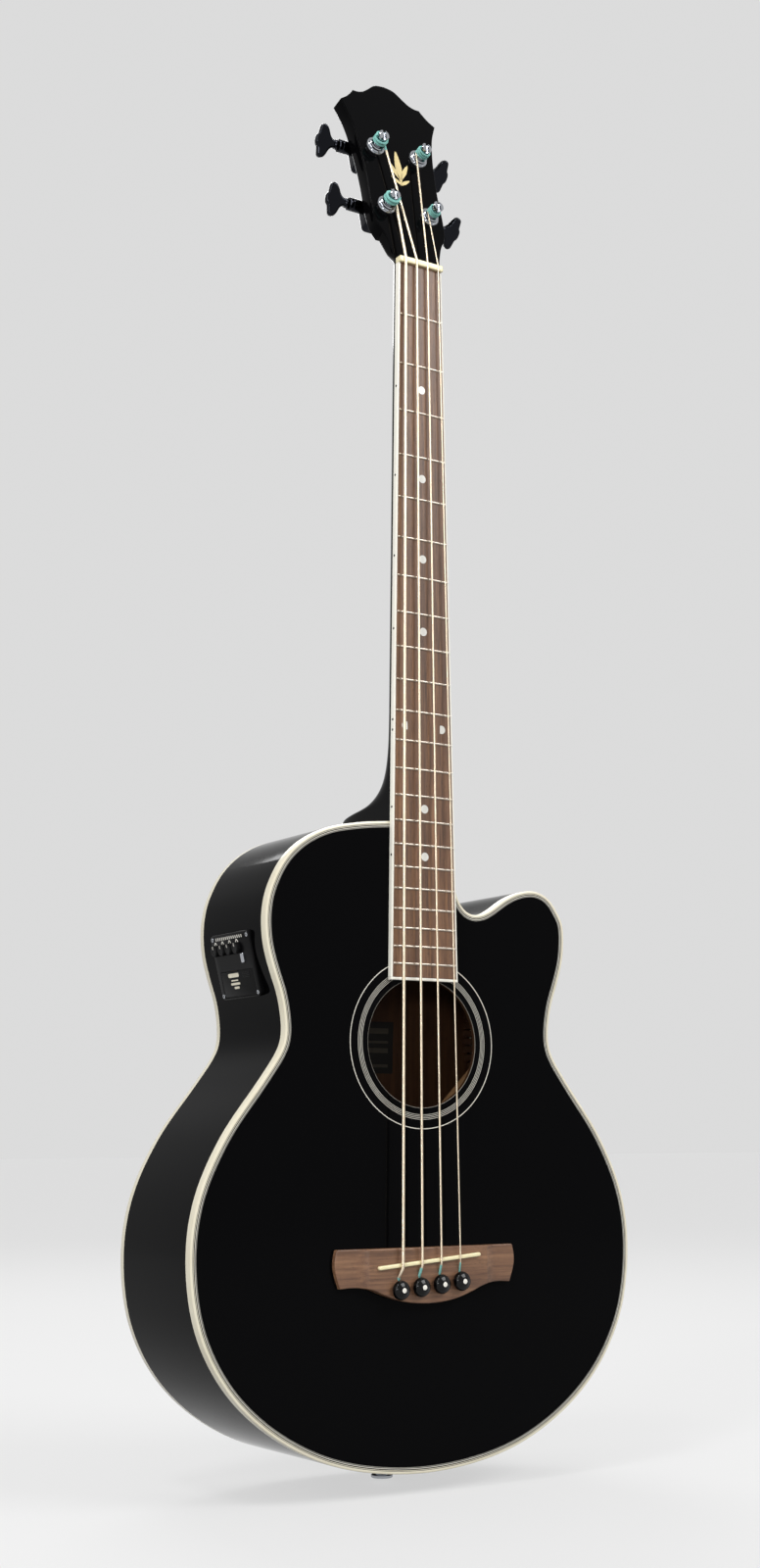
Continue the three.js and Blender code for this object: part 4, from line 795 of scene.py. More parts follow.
def on_front(x, z, y):
    """Drawn across and up on the front, with y as its depth."""
    return np.c_[x, y, z]


def on_head(x, s, y):
    """Drawn on the headstock's face: across, along, and depth behind the face."""
    cos, sin = math.cos(head.tilt), math.sin(head.tilt)
    return np.c_[x, -head.face + y * cos + s * sin, head.z - y * sin + s * cos]


# The preamp panel on the bass side: its way out, its way up and its middle
PANEL_OUT = np.array([-0.97044, 0.0, -0.24135])
PANEL_UP = np.array([-0.24135, 0.0, 0.97044])
PANEL_MIDDLE = np.array([-134.4144, 53.0, 226.4829])


def on_panel(across, up, out):
    """Drawn on the preamp's panel: across to the front, up, and out of the side."""
    place = PANEL_MIDDLE + np.outer(out, PANEL_OUT) + np.outer(up, PANEL_UP)
    place[:, 1] -= across
    return place


def on_tail(x, y, out):
    """Drawn across the tail, with a distance out of its end."""
    return np.c_[x, jack.y + y, -TAIL - out]


def along_line(points):
    """How far along a line each of its points lies."""
    return np.r_[0, np.cumsum(np.linalg.norm(np.diff(points, axis=0), axis=1))]


def tube(name, path, radii, finishes, sides=12, marks=None):
    """A round tube through points, with a UV map of turns round it and millimetres along it."""
    path = np.asarray(path, float)
    radii = np.broadcast_to(radii, len(path))
    normal = np.array([1.0, 0, 0])
    rows = []
    for i, point in enumerate(path):
        along = path[min(i + 1, len(path) - 1)] - path[max(i - 1, 0)]
        along /= np.linalg.norm(along)
        normal = normal - along * normal.dot(along)
        normal /= np.linalg.norm(normal)
        side = np.cross(along, normal)
        angles = np.arange(sides) * 2 * math.pi / sides
        rows.append(point + radii[i] * (np.outer(np.cos(angles), normal) + np.outer(np.sin(angles), side)))
    length = along_line(path)
    faces = grid_faces(len(path), sides)
    uv = []
    for row in range(len(path) - 1):
        low, high = length[row], length[row + 1]
        for column in range(sides):
            left, right = column / sides, (column + 1) / sides
            uv += [(left, low), (right, low), (right, high), (left, high)]
    for row, order in ((0, 1), (len(path) - 1, -1)):
        faces.append(tuple(row * sides + c for c in range(sides))[::order])
        uv += [(0, length[row])] * sides
    spread = {label: np.repeat(values, sides) for label, values in (marks or {}).items()}
    return mesh_of(name, np.array(rows), faces, finishes, marks=spread, uv=uv, smooth=50)


# Geometry node trees for what repeats


def tree_of(name, sizes):
    """A geometry tree with named inputs; returns its nodes and its inputs' wires."""
    tree = bpy.data.node_groups.new(name, "GeometryNodeTree")
    tree.interface.new_socket("Geometry", in_out="OUTPUT", socket_type="NodeSocketGeometry")
    tree.interface.new_socket("Geometry", in_out="INPUT", socket_type="NodeSocketGeometry")
    for label, kind in sizes.items():
        tree.interface.new_socket(label, in_out="INPUT", socket_type="NodeSocket" + kind)
    nodes = Nodes(tree)
    entry = nodes.node("NodeGroupInput")
    return nodes, {label: entry.out(label) for label in ["Geometry", *sizes]}


def close_tree(nodes, instances, material, moved=None):
    """Ends a tree: the instances made real, moved if asked, and given their material."""
    real = nodes.node("GeometryNodeRealizeInstances", None, {0: instances})
    if moved is not None:
        real = nodes.node("GeometryNodeSetPosition", None, {"Geometry": real, "Offset": moved})
    done = nodes.node("GeometryNodeSetMaterial", None, {"Geometry": real, "Material": material})
    nodes.node("NodeGroupOutput", None, {0: done})
    return nodes.tree


def vector(nodes, x, y, z):
    """A vector from three values."""
    return nodes.node("ShaderNodeCombineXYZ", None, {0: x, 1: y, 2: z})


def fret_tree():
    """Fret wires at the places of an equal-tempered scale, laid over a round board."""
    sizes = {
        "Frets": "Int", "Scale Length": "Float", "Nut Half": "Float", "End Half": "Float",
        "End Place": "Float", "Width": "Float", "Crown": "Float", "Board Radius": "Float",
        "Under": "Float", "Rise": "Float", "Material": "Material",
    }
    nodes, given = tree_of("fret_wires", sizes)
    line = nodes.node("GeometryNodeMeshLine", None, {"Count": given["Frets"]})
    number = nodes.node("GeometryNodeInputIndex") + 1
    place = given["Scale Length"] * 2 ** (number * (-1 / 12))
    spots = {"Geometry": line, "Position": vector(nodes, 0.0, 0.0, place)}
    line = nodes.node("GeometryNodeSetPosition", None, spots)
    above = nodes.split(nodes.node("GeometryNodeInputPosition"))[2]
    share = (given["Scale Length"] - above) / (given["Scale Length"] - given["End Place"])
    half = given["Nut Half"] + (given["End Half"] - given["Nut Half"]) * share
    shape = {"Vertices": 14, "Side Segments": 14, "Radius": 1.0, "Depth": 2.0}
    rod = nodes.node("GeometryNodeMeshCylinder", None, shape)
    rod = nodes.node("GeometryNodeTransform", None, {"Geometry": rod, "Rotation": (0, math.pi / 2, 0)})
    size = vector(nodes, half, given["Crown"], given["Width"] / 2)
    wires = {"Points": line, "Instance": rod, "Scale": size}
    wires = nodes.node("GeometryNodeInstanceOnPoints", None, wires)
    x, unused, z = nodes.split(nodes.node("GeometryNodeInputPosition"))
    top = x * x / (given["Board Radius"] * 2) + given["Under"] + given["Rise"] * (z - given["End Place"])
    return close_tree(nodes, wires, given["Material"], vector(nodes, 0.0, top, 0.0))


def disc_tree():
    """Round inlays, screw heads and the like on given points."""
    sizes = {
        "Radius": "Float", "Thickness": "Float", "Turn": "Vector", "Sides": "Int",
        "Material": "Material",
    }
    nodes, given = tree_of("discs", sizes)
    shape = {"Vertices": given["Sides"], "Radius": given["Radius"], "Depth": given["Thickness"]}
    disc = nodes.node("GeometryNodeMeshCylinder", None, shape)
    disc = nodes.node("GeometryNodeTransform", None, {"Geometry": disc, "Rotation": given["Turn"]})
    spots = nodes.node("GeometryNodeInstanceOnPoints", None, {"Points": given["Geometry"], "Instance": disc})
    return close_tree(nodes, spots, given["Material"])


def block_tree():
    """Straight marks, ribs and slots on given points."""
    sizes = {"Size": "Vector", "Turn": "Vector", "Material": "Material"}
    nodes, given = tree_of("blocks", sizes)
    cube = nodes.node("GeometryNodeMeshCube", None, {"Size": given["Size"]})
    cube = nodes.node("GeometryNodeTransform", None, {"Geometry": cube, "Rotation": given["Turn"]})
    spots = nodes.node("GeometryNodeInstanceOnPoints", None, {"Points": given["Geometry"], "Instance": cube})
    return close_tree(nodes, spots, given["Material"])


def lining_tree():
    """Wedge blocks along a closed line, parted by saw cuts, as in a kerfed lining."""
    sizes = {
        "Pitch": "Float", "Kerf": "Float", "Width": "Float", "Foot": "Float", "Height": "Float",
        "Way": "Float", "Material": "Material",
    }
    nodes, given = tree_of("kerfed_lining", sizes)
    line = nodes.node("GeometryNodeMeshToCurve", None, {"Mesh": given["Geometry"]})
    spacing = {"Curve": line, "Length": given["Pitch"]}
    line = nodes.node("GeometryNodeResampleCurve", {"mode": "LENGTH"}, spacing)
    size = vector(nodes, given["Width"], given["Height"], given["Pitch"] - given["Kerf"])
    cube = nodes.node("GeometryNodeMeshCube", None, {"Size": size})
    x, y, z = nodes.split(nodes.node("GeometryNodeInputPosition"))
    across = x + given["Width"] / 2
    down = y + given["Height"] / 2
    slim = (given["Foot"] - given["Width"]) / given["Width"] * down / given["Height"]
    place = vector(nodes, across * (slim + 1), down * given["Way"], z)
    cube = nodes.node("GeometryNodeSetPosition", None, {"Geometry": cube, "Position": place})
    tangent = nodes.node("GeometryNodeInputTangent")
    settings = {"primary_axis": "Z", "secondary_axis": "Y"}
    turn = nodes.node("FunctionNodeAxesToRotation", settings, {0: tangent, 1: (0.0, 1.0, 0.0)})
    blocks = {"Points": line, "Instance": cube, "Rotation": turn}
    blocks = nodes.node("GeometryNodeInstanceOnPoints", None, blocks)
    return close_tree(nodes, blocks, given["Material"])


def ridge_tree():
    """Upright ridges round a knob or a wheel."""
    sizes = {"Count": "Int", "Radius": "Float", "Size": "Vector", "Material": "Material"}
    nodes, given = tree_of("ridges", sizes)
    ring = {"Vertices": given["Count"], "Radius": given["Radius"]}
    ring = nodes.node("GeometryNodeMeshCircle", None, ring)
    turn = nodes.node("GeometryNodeInputIndex") * (2 * math.pi) / given["Count"]
    cube = nodes.node("GeometryNodeMeshCube", None, {"Size": given["Size"]})
    turned_by = vector(nodes, 0.0, 0.0, turn)
    spots = {"Points": ring, "Instance": cube, "Rotation": turned_by}
    spots = nodes.node("GeometryNodeInstanceOnPoints", None, spots)
    return close_tree(nodes, spots, given["Material"])


TREES = {}
TREE_MAKERS = {
    "frets": fret_tree, "discs": disc_tree, "blocks": block_tree, "lining": lining_tree, "ridges": ridge_tree,
}


def grown(name, tree_name, points, values, edges=(), move=None):
    """Runs a tree on points in instrument millimetres and returns the plain mesh object."""
    if tree_name not in TREES:
        TREES[tree_name] = TREE_MAKERS[tree_name]()
    tree = TREES[tree_name]
    mesh = bpy.data.meshes.new(name)
    mesh.from_pydata(np.asarray(points, float).reshape(-1, 3).tolist(), list(edges), [])
    made = bpy.data.objects.new(name, mesh)
    bpy.context.scene.collection.objects.link(made)
    modifier = made.modifiers.new("made", "NODES")
    modifier.node_group = tree
    for item in tree.interface.items_tree:
        if item.in_out == "INPUT" and item.name in values:
            modifier[item.identifier] = values[item.name]
    bpy.context.view_layer.update()
    to_mesh(made)
    place = np.array([v.co for v in made.data.vertices]).reshape(-1, 3)
    place = (move(*place.T) if move else place) - ORIGIN
    made.data.vertices.foreach_set("co", (place * MM).astype(np.float32).ravel())
    tidy_mesh(made.data)
    smooth_below(made.data)
    return made


# The body


def body_outline():
    """The body's outline, from the treble side of the neck round the tail to its bass side."""

    def across(rows, width, side):
        return [(side * share * width / 2, up * body.length - TAIL) for share, up in rows]

    corner = float(board_half(JOINT))
    horn = [(share * body.upper / 2, JOINT - down * body.cutaway) for share, down in HORN_SHARES]
    sides = []
    for side in (1, -1):
        rows = across(LOWER_SHARES, body.lower, side) + across(WAIST_SHARES, body.waist, side)
        sides.append(rows + across(UPPER_SHARES, body.upper, side))
    treble = sides[0] + horn + [(corner, JOINT)]
    bass = sides[1] + across(SHOULDER_SHARES, body.upper, -1) + [(-corner, JOINT)]
    line = curve(treble[::-1] + [(0, -TAIL)] + bass, 16)
    return evened(line, 3.4, 3)


def evened(line, spacing, rounds):
    """A line with points at equal distances, its small waves smoothed and its ends kept."""
    run = along_line(line)
    at = np.linspace(0, run[-1], int(run[-1] / spacing))
    line = np.c_[np.interp(at, run, line[:, 0]), np.interp(at, run, line[:, 1])]
    for unused in range(rounds):
        line[1:-1] = (line[:-2] + 2 * line[1:-1] + line[2:]) / 4
    return line


OUTLINE = body_outline()
PLATE_EDGE = body.rim + GLUE
BODY_MIDDLE = np.array([0, HOLE_Z / 2])


def lifted(ring, depth):
    """A flat ring at a depth, a number or a function of its place."""
    y = depth(ring[:, 0], ring[:, 1]) if callable(depth) else np.full(len(ring), float(depth))
    return np.c_[ring[:, 0], y, ring[:, 1]]


def around_body(name, corners, finishes):
    """A closed band round the body from its section: distances from the edge, and depths."""
    rows = [lifted(inset(OUTLINE, back), depth) for back, depth in corners]
    points = np.array(rows)
    edge = np.repeat([float(back) for back, depth in corners], len(OUTLINE))
    faces = grid_faces(len(rows), len(OUTLINE), loop_rows=True)
    return mesh_of(name, points, faces, finishes, marks={"edge": edge}, smooth=40)


def pin_cutters(low, high):
    """Round holes for the bridge pins and the slots in front of them."""
    cutters = []
    for string in STRINGS:
        z = pin_height(string)
        half = string.gauge / 2 + SEAT
        outlines = [circle(string.x_pin, z, pin.shank + SEAT, 20)]
        far = z + pin.setback + half
        outlines.append(rounded(string.x_pin - half, string.x_pin + half, z, far, half * 0.95, 4))
        for outline in outlines:
            cutters.append(block_of("cutter", slab(outline, low, high), on_front, ["lacquer"]))
    return cutters


def pin_height(string):
    """Where a bridge pin stands above the saddle line."""
    return -pin.below + saddle.slope * string.x_pin


def soundboard():
    """The flat top with its soundhole."""
    insets = [PLATE_EDGE, 3.6, 4.2, 5.2, 7]
    rows = [lifted(inset(OUTLINE, back), 0) for back in insets]
    spokes = inset(OUTLINE, PLATE_EDGE) - (0, HOLE_Z)
    spokes /= np.linalg.norm(spokes, axis=1, keepdims=True)
    ring = lifted(spokes * (hole.radius + 12) + (0, HOLE_Z), 0)
    shares = np.arange(1, 13) / 12
    rows += [rows[4] + (ring - rows[4]) * share for share in shares]
    for radius, depth in ((hole.radius + 0.4, 0), (hole.radius, 0.4), (hole.radius, body.top)):
        rows.append(lifted(spokes * radius + (0, HOLE_Z), depth))
    rows.append(lifted(inset(OUTLINE, PLATE_EDGE), body.top))
    edge = np.repeat([*insets, *(7 + 40 * shares), 50, 50, 50, PLATE_EDGE], len(OUTLINE))
    faces = grid_faces(len(rows), len(OUTLINE), loop_rows=True)
    first = (len(rows) - 2) * len(OUTLINE)
    under = [int(first <= i < first + len(OUTLINE)) for i in range(len(faces))]
    finishes = ["soundboard", "inside"]
    made = mesh_of("soundboard", np.array(rows), faces, finishes, marks={"edge": edge}, indexes=under)
    carve(made, *pin_cutters(-1, body.top + 1))
    kept = np.array([mark.value for mark in made.data.attributes["edge"].data])
    kept[kept < PLATE_EDGE - GLUE] = 40  # the cutters' own points
    made.data.attributes["edge"].data.foreach_set("value", kept.astype(np.float32))
    settle(made, "top_plate", "root", "black_lacquer", "soundboard")


def back_plate():
    """The arched back, lacquered outside and bare wood inside."""
    ring = inset(OUTLINE, PLATE_EDGE)
    shares = [0.02, 0.2, 0.4, 0.6, 0.75, 0.88, 1.0]
    rings = [BODY_MIDDLE + (ring - BODY_MIDDLE) * share for share in shares]
    rows = [lifted(r, lambda x, z: back_depth(x, z) - body.back) for r in rings]
    rows += [lifted(r, back_depth) for r in rings[::-1]]
    faces = grid_faces(len(rows), len(ring), caps=True)
    indexes = [int(i < (len(shares) - 1) * len(ring)) for i in range(len(faces) - 2)] + [1, 0]
    made = mesh_of("back", np.array(rows), faces, ["lacquer", "inside"], indexes=indexes)
    settle(made, "arched_back", "root", "black_lacquer", "back_plate")


def label():
    """A plain card glued inside the back under the soundhole, with bands instead of words."""
    parts = []
    for low, high, lift, finish_name in (
        (147, 190, 0.25, "card"), (180, 184.5, 0.4, "card_band"), (172, 174, 0.4, "card_band"),
        (164, 168, 0.4, "card_band"), (152, 154.5, 0.4, "card_band"),
    ):
        half = 43 if finish_name == "card" else 38
        x, z = np.meshgrid(np.linspace(-half, half, 13), np.linspace(low, high, 3))
        y = back_depth(x, z) - body.back - GLUE
        face = [np.c_[x[i], y[i] - lift, z[i]] for i in range(3)]
        rows = np.array(face + [np.c_[x[i], y[i], z[i]] for i in (2, 1, 0)])
        faces = grid_faces(6, 13, loop_rows=True, loop_columns=False)
        faces += [tuple(row * 13 + column for row in range(6)) for column in (0, 12)]
        parts.append(mesh_of("card", rows, faces, [finish_name]))
    settle(joined(parts), "inside_label", "root", "mahogany")


def rim():
    """The bent sides, cut for the preamp, the jack and the neck's tenon."""

    def deep(x, z):
        return back_depth(x, z) - body.back_binding - GLUE

    front = body.front_binding + GLUE
    corners = ((0, front), (0, deep), (body.rim, deep), (body.rim, front))
    rows = [lifted(inset(OUTLINE, back), depth) for back, depth in corners]
    faces = grid_faces(4, len(OUTLINE), loop_rows=True)
    indexes = [int(2 * len(OUTLINE) <= i < 3 * len(OUTLINE)) for i in range(len(faces))]
    made = mesh_of("rim", np.array(rows), faces, ["lacquer", "inside"], indexes=indexes)
    window = rounded(-box_room.half, box_room.half, -box_room.tall, box_room.tall, 2)
    window = block_of("cutter", slab(window, -12, 9), on_panel, ["lacquer"])
    socket = block_of("cutter", slab(circle(0, 0, jack.barrel + SEAT), -30, 3), on_tail, ["lacquer"])
    half = tenon.half + SEAT
    mortise = rounded(-half, half, JOINT - tenon.length - SEAT, JOINT + 3, 0.1, 1)
    mortise = slab(mortise, tenon.front - SEAT, tenon.back + SEAT)
    tenon_room = block_of("cutter", mortise, on_front, ["lacquer"])
    carve(made, window, socket, tenon_room)
    settle(made, "bent_sides", "root", "black_lacquer", "side_rim")


def bindings():
    """Cream strips round the front and the back edges."""
    deep = body.front_binding
    front = [(0, deep), (0, 0.9), (0.26, 0.26), (0.9, 0), (2.1, 0), (3, 0), (3, deep)]
    made = around_body("front_strip", front, ["edged_ivory"])
    settle(made, "front_strip", "root", "ivory", "front_binding")

    def depth(lift):
        return lambda x, z: back_depth(x, z) - lift

    corners = [(0, depth(body.back_binding)), (3, depth(body.back_binding)), (3, back_depth)]
    corners += [(0.9, back_depth), (0.26, depth(0.26)), (0, depth(0.9))]
    made = around_body("back_strip", corners, ["ivory"])
    settle(made, "back_strip", "root", "ivory", "back_binding")


def linings():
    """Kerfed strips that glue the plates to the sides."""
    line = inset(OUTLINE, PLATE_EDGE)
    edges = [(i, (i + 1) % len(line)) for i in range(len(line))]
    values = {
        "Pitch": 6.2, "Kerf": 1.0, "Width": 7.0, "Foot": 3.2, "Height": 13.0, "Way": 1.0,
        "Material": finish("lining"),
    }
    made = grown("lining", "lining", lifted(line, body.top + GLUE), values, edges)
    settle(made, "kerfed_front_lining", "root", "spruce", "front_lining")
    values["Way"] = -1.0
    far = lifted(line, lambda x, z: back_depth(x, z) - body.back - GLUE)
    made = grown("lining", "lining", far, values, edges)
    settle(made, "kerfed_back_lining", "root", "spruce", "back_lining")


# The neck and headstock


def neck_ring(z, half, front, depth, square, taper=0.0, count=40):
    """One section of the neck: flat in front and round behind."""
    turn = np.linspace(0, math.pi, count)
    power = 2 / square
    wide = np.sign(np.cos(turn)) * np.abs(np.cos(turn)) ** power
    deep = np.sin(turn) ** power
    return np.c_[half * wide * (1 - taper * deep), front + depth * deep, np.full(count, z)]


def neck_depth(z):
    """How deep the neck's shaft is."""
    return np.interp(z, [JOINT + neck.heel_length, SCALE_LENGTH], [neck.joint_depth, neck.nut_depth])


def neck_rows():
    """Sections from the heel's cap along the shaft into the headstock."""
    rows = []
    shares = curve(HEEL_SHARES, 4)
    for along, deep in shares:
        z = JOINT + SEAT + along * neck.heel_length
        front = float(board_under(z)) + GLUE
        depth = neck_depth(z) + deep * (neck.heel_depth - neck_depth(z)) - front
        square = neck.round + (neck.square - neck.round) * deep
        rows.append(neck_ring(z, board_half(z), front, depth, square, HEEL_TAPER_SHARE * max(deep, 0)))
    for z in np.linspace(JOINT + neck.heel_length, SCALE_LENGTH, 8)[1:]:
        front = float(board_under(z)) + GLUE
        rows.append(neck_ring(z, board_half(z), front, neck_depth(z) - front, neck.round))
    shaft_end = SCALE_LENGTH + nut.thickness
    front = board_under(shaft_end) + GLUE + SEAT
    rows.append(neck_ring(shaft_end, board.nut / 2, front, neck_depth(shaft_end) - front, neck.round))
    side = curve(HEAD_SIDE_SHARES, 8) * (head.half, head.length)
    for share, square, sunk, slim in LEAD_ROWS:
        up = share * head.thickness
        half = slim * np.interp(up / math.cos(head.tilt), side[:, 1], side[:, 0])
        front = -head.face + (1 + sunk) * head.veneer + up * math.tan(head.tilt)
        depth = slim * (head.thickness - (1 + sunk) * head.veneer) / math.cos(head.tilt)
        rows.append(neck_ring(head.z + up, half, front, depth, square))
    return np.array(rows)


def head_outline(start):
    """The headstock's outline above a start."""
    parts = [curve(rows, 8) for rows in (HEAD_SIDE_SHARES, HEAD_TOP_SHARES, HEAD_CROWN_SHARES)]
    right = np.vstack([parts[0], parts[1][1:], parts[2][1:]]) * (head.half, head.length)
    first = (np.interp(start, right[:20, 1], right[:20, 0]), start)
    right = np.vstack([first, right[right[:, 1] > start]])
    left = right[:-1][::-1] * (-1, 1)
    return np.vstack([right, left])


def post_cutters(radius):
    """Holes for the four tuner posts."""
    cutters = []
    for string in STRINGS:
        rows = slab(circle(string.side * tuner.x, string.s, radius), -2, head.thickness + 3)
        cutters.append(block_of("cutter", rows, on_head, ["lacquer"]))
    return cutters


def neck_piece():
    """Heel, shaft and headstock in one, with its face plate."""
    rows = neck_rows()
    shaft = mesh_of("shaft", rows, grid_faces(len(rows), rows.shape[1], caps=True), ["lacquer"], smooth=50)
    plate = slab(head_outline(2 * head.thickness), head.veneer + GLUE, head.thickness, 0.3, 1.2)
    plate = block_of("plate", plate, on_head, ["lacquer"])
    out = Vector((0, -math.cos(head.tilt), math.sin(head.tilt)))
    carve(plate, *post_cutters(bushing.sleeve + SEAT))
    flat_faces(plate, out)
    settle(joined([shaft, plate]), "neck_and_head", "root", "black_lacquer", "neck")
    face = block_of("face", slab(head_outline(head.start), 0, head.veneer, 0.5, 0.2), on_head, ["lacquer"])
    carve(face, *post_cutters(bushing.sleeve + SEAT))
    flat_faces(face, out)
    settle(face, "head_face", "root", "black_lacquer", "headstock_veneer")


def ornament():
    """A plain inlay on the headstock: a tall pointed leaf between two pairs of small ones."""
    parts = []
    leaves = [(0, 104.5, 3.4, 17.5, 0), (5.2, 100, 2.2, 10.5, 0.48), (-5.2, 100, 2.2, 10.5, -0.48)]
    leaves += [(4.0, 88.5, 1.7, 6.6, 0.95), (-4.0, 88.5, 1.7, 6.6, -0.95)]
    for x, s, half, tall, lean in leaves:
        turn = np.linspace(0, 2 * math.pi, 28, endpoint=False)
        across = half * np.sin(turn) * (1 - 0.35 * np.abs(np.cos(turn)))
        along = tall * np.cos(turn)
        outline = np.c_[
            x - 1 + across * math.cos(lean) + along * math.sin(lean),
            s - across * math.sin(lean) + along * math.cos(lean),
        ]
        parts.append(block_of("leaf", slab(outline, -0.08, 0.3), on_head, ["gold"]))
    settle(joined(parts), "head_inlay", "root", "ivory")


# The fretboard


def board_ring(z, half, above=0.0, below=0.0, steps=16):
    """One section of the fretboard: flat below and round above."""
    x = np.linspace(-half, half, steps + 1)
    top = np.c_[x, board_top(x, z) - above, np.full(len(x), z)]
    return np.vstack([[(half, board_under(z) + below, z), (-half, board_under(z) + below, z)], top])


def fretboard():
    """The rosewood board, its frets, inlays and cream edges."""
    settings = bpy.context.scene.bass_neck
    start = BOARD_END + board.end_binding
    ends = np.linspace(start + GLUE, SCALE_LENGTH - GLUE, 6)
    rows = np.array([board_ring(z, board_half(z) - board.binding - GLUE) for z in ends])
    wood_part = mesh_of("board", rows, grid_faces(len(rows), rows.shape[1], caps=True), ["fretboard"])
    values = {
        "Frets": settings.frets, "Scale Length": SCALE_LENGTH,
        "Nut Half": board.nut / 2 - board.binding - SEAT, "End Half": board.end / 2 - board.binding - SEAT,
        "End Place": BOARD_END, "Width": settings.fret_width / MM, "Crown": settings.fret_crown / MM,
        "Board Radius": float(board.radius), "Under": -GLUE - board.thickness,
        "Rise": -board.rise / (SCALE_LENGTH - BOARD_END), "Material": finish("fret_metal"),
    }
    frets = grown("frets", "frets", [(0, 0, 0)], values)
    settle(wood_part, "rosewood_board", "root", "rosewood", "fretboard")
    settle(frets, "fret_wires", "root", "steel")
    inlays()
    board_edges()


def between_frets(number):
    """The middle between a fret and the one before it."""
    return (fret_place(number) + fret_place(number - 1)) / 2


def inlays():
    """Pale dots on the board's face and small dark ones on its bass edge."""
    settings = bpy.context.scene.bass_neck
    places = [(0, between_frets(n)) for n in (3, 5, 7, 9, 15, 17)]
    places += [(side * board.twin_dots, between_frets(12)) for side in (-1, 1)]
    points = [(x, board_top(x, z) + 0.2, z) for x, z in places]
    values = {
        "Radius": settings.dot / MM, "Thickness": 0.55, "Turn": (math.pi / 2, 0, 0), "Sides": 32,
        "Material": finish("pearl"),
    }
    settle(grown("dots", "discs", points, values), "face_dots", "root", "ivory")
    points = []
    for n in (3, 5, 7, 9, 12, 15, 17):
        for shift in (-board.twin_marks, board.twin_marks) if n == 12 else (0,):
            z = between_frets(n) + shift
            points.append((-float(board_half(z)) + 0.1, board_under(z) - board.thickness / 2, z))
    values.update({
        "Radius": 1.0, "Thickness": 0.4, "Turn": (0, math.pi / 2, 0), "Material": finish("black_plastic"),
    })
    settle(grown("marks", "discs", points, values), "side_dots", "root", "black_plastic")


def board_edges():
    """Cream strips down both sides of the board and across its end."""
    parts = []
    for side in (-1, 1):
        rows = []
        for z in np.linspace(BOARD_END + board.end_binding + GLUE, SCALE_LENGTH - GLUE, 6):
            outer = float(board_half(z))
            inner = outer - board.binding
            under = board_under(z)
            top = board_top(outer, z)
            section = [(inner, under), (outer, under), (outer, top + 0.5), (outer - 0.15, top + 0.15)]
            section += [(outer - 0.5, top), (inner, board_top(inner, z))]
            rows.append([(side * x, y, z) for x, y in section])
        rows = np.array(rows)
        faces = grid_faces(len(rows), rows.shape[1], caps=True)
        # painted light: these strips take the whiter copy of the cream
        parts.append(mesh_of("strip", rows, faces, ["pale_ivory"]))
    half = board.end / 2
    ends = [board_ring(z, half) for z in (BOARD_END, BOARD_END + board.end_binding)]
    rows = np.array(ends)
    strip = mesh_of("strip", rows, grid_faces(2, rows.shape[1], caps=True), ["pale_ivory"])
    parts.append(bevel(strip, 0.3))
    settle(joined(parts), "board_strips", "root", "ivory", "fretboard_binding")


def nut_piece():
    """The nut with a slot for each string."""
    z0, z1 = SCALE_LENGTH, SCALE_LENGTH + nut.thickness
    rows = np.array([board_ring(z, board.nut / 2, nut.proud) for z in (z0, z1)])
    made = bevel(mesh_of("nut", rows, grid_faces(2, rows.shape[1], caps=True), ["bone"]), 0.5, 3)
    cutters = []
    for string in STRINGS:
        path = string_path(string)
        near = [p for p in path if abs(p[2] - (z0 + z1) / 2) < 60]
        radius = string.gauge / 2 + 0.12
        cutters.append(tube("cutter", near[:6], radius, ["bone"]))
    carve(made, *cutters)
    settle(made, "slotted_nut", "root", "ivory", "nut")


# The strings


def string_path(string):
    """A string's way from its pin over saddle and nut and round its post."""
    radius = string.gauge / 2
    x = string.x_pin
    out = pin_height(string) + pin.setback
    foot = body.top + bridge.plate + GLUE + SEAT
    crest_y = -bridge.height - saddle.height - GLUE - radius
    crest = saddle.forward + saddle.slope * string.x_saddle
    ramp = curve(
        [
            (x, foot, out),
            (x, -bridge.height * 0.45, out),
            (x, -bridge.height * 0.72, out + radius),
            (x, -bridge.height - radius * 0.2, out + 4 * radius),
        ],
        4,
    )
    nut_y = board_top(string.x_nut, SCALE_LENGTH) - nut.fret - nut.action - radius
    over = [
        (string.x_saddle, crest_y, crest - saddle.width / 2),
        (string.x_saddle, crest_y, crest + saddle.width / 2),
        (string.x_nut, nut_y, SCALE_LENGTH),
        (string.x_nut, nut_y, SCALE_LENGTH + nut.thickness * 0.8),
    ]
    return [np.array(p) for p in [*ramp, *over, *coil(string, nut_y)]]


def coil(string, nut_y):
    """The turns round a post: one helix from where the string first touches it."""
    radius = string.gauge / 2
    wrap = post.waist + SEAT + radius
    cos, sin = math.cos(head.tilt), math.sin(head.tilt)
    y, z = nut_y + head.face, SCALE_LENGTH + nut.thickness - head.z
    local = np.array([string.x_nut, y * sin + z * cos])
    centre = np.array([string.side * tuner.x, string.s])
    towards = local - centre
    spread = math.acos(wrap / np.linalg.norm(towards))
    first = math.atan2(towards[1], towards[0]) - string.side * spread
    turn = np.arange(int(string.turns * COIL_STEPS) + 1) / COIL_STEPS
    angle = first - string.side * 2 * math.pi * turn
    depth = -bushing.height - post.clear - radius - turn * (string.gauge + post.clear)
    return on_head(centre[0] + wrap * np.cos(angle), centre[1] + wrap * np.sin(angle), depth)


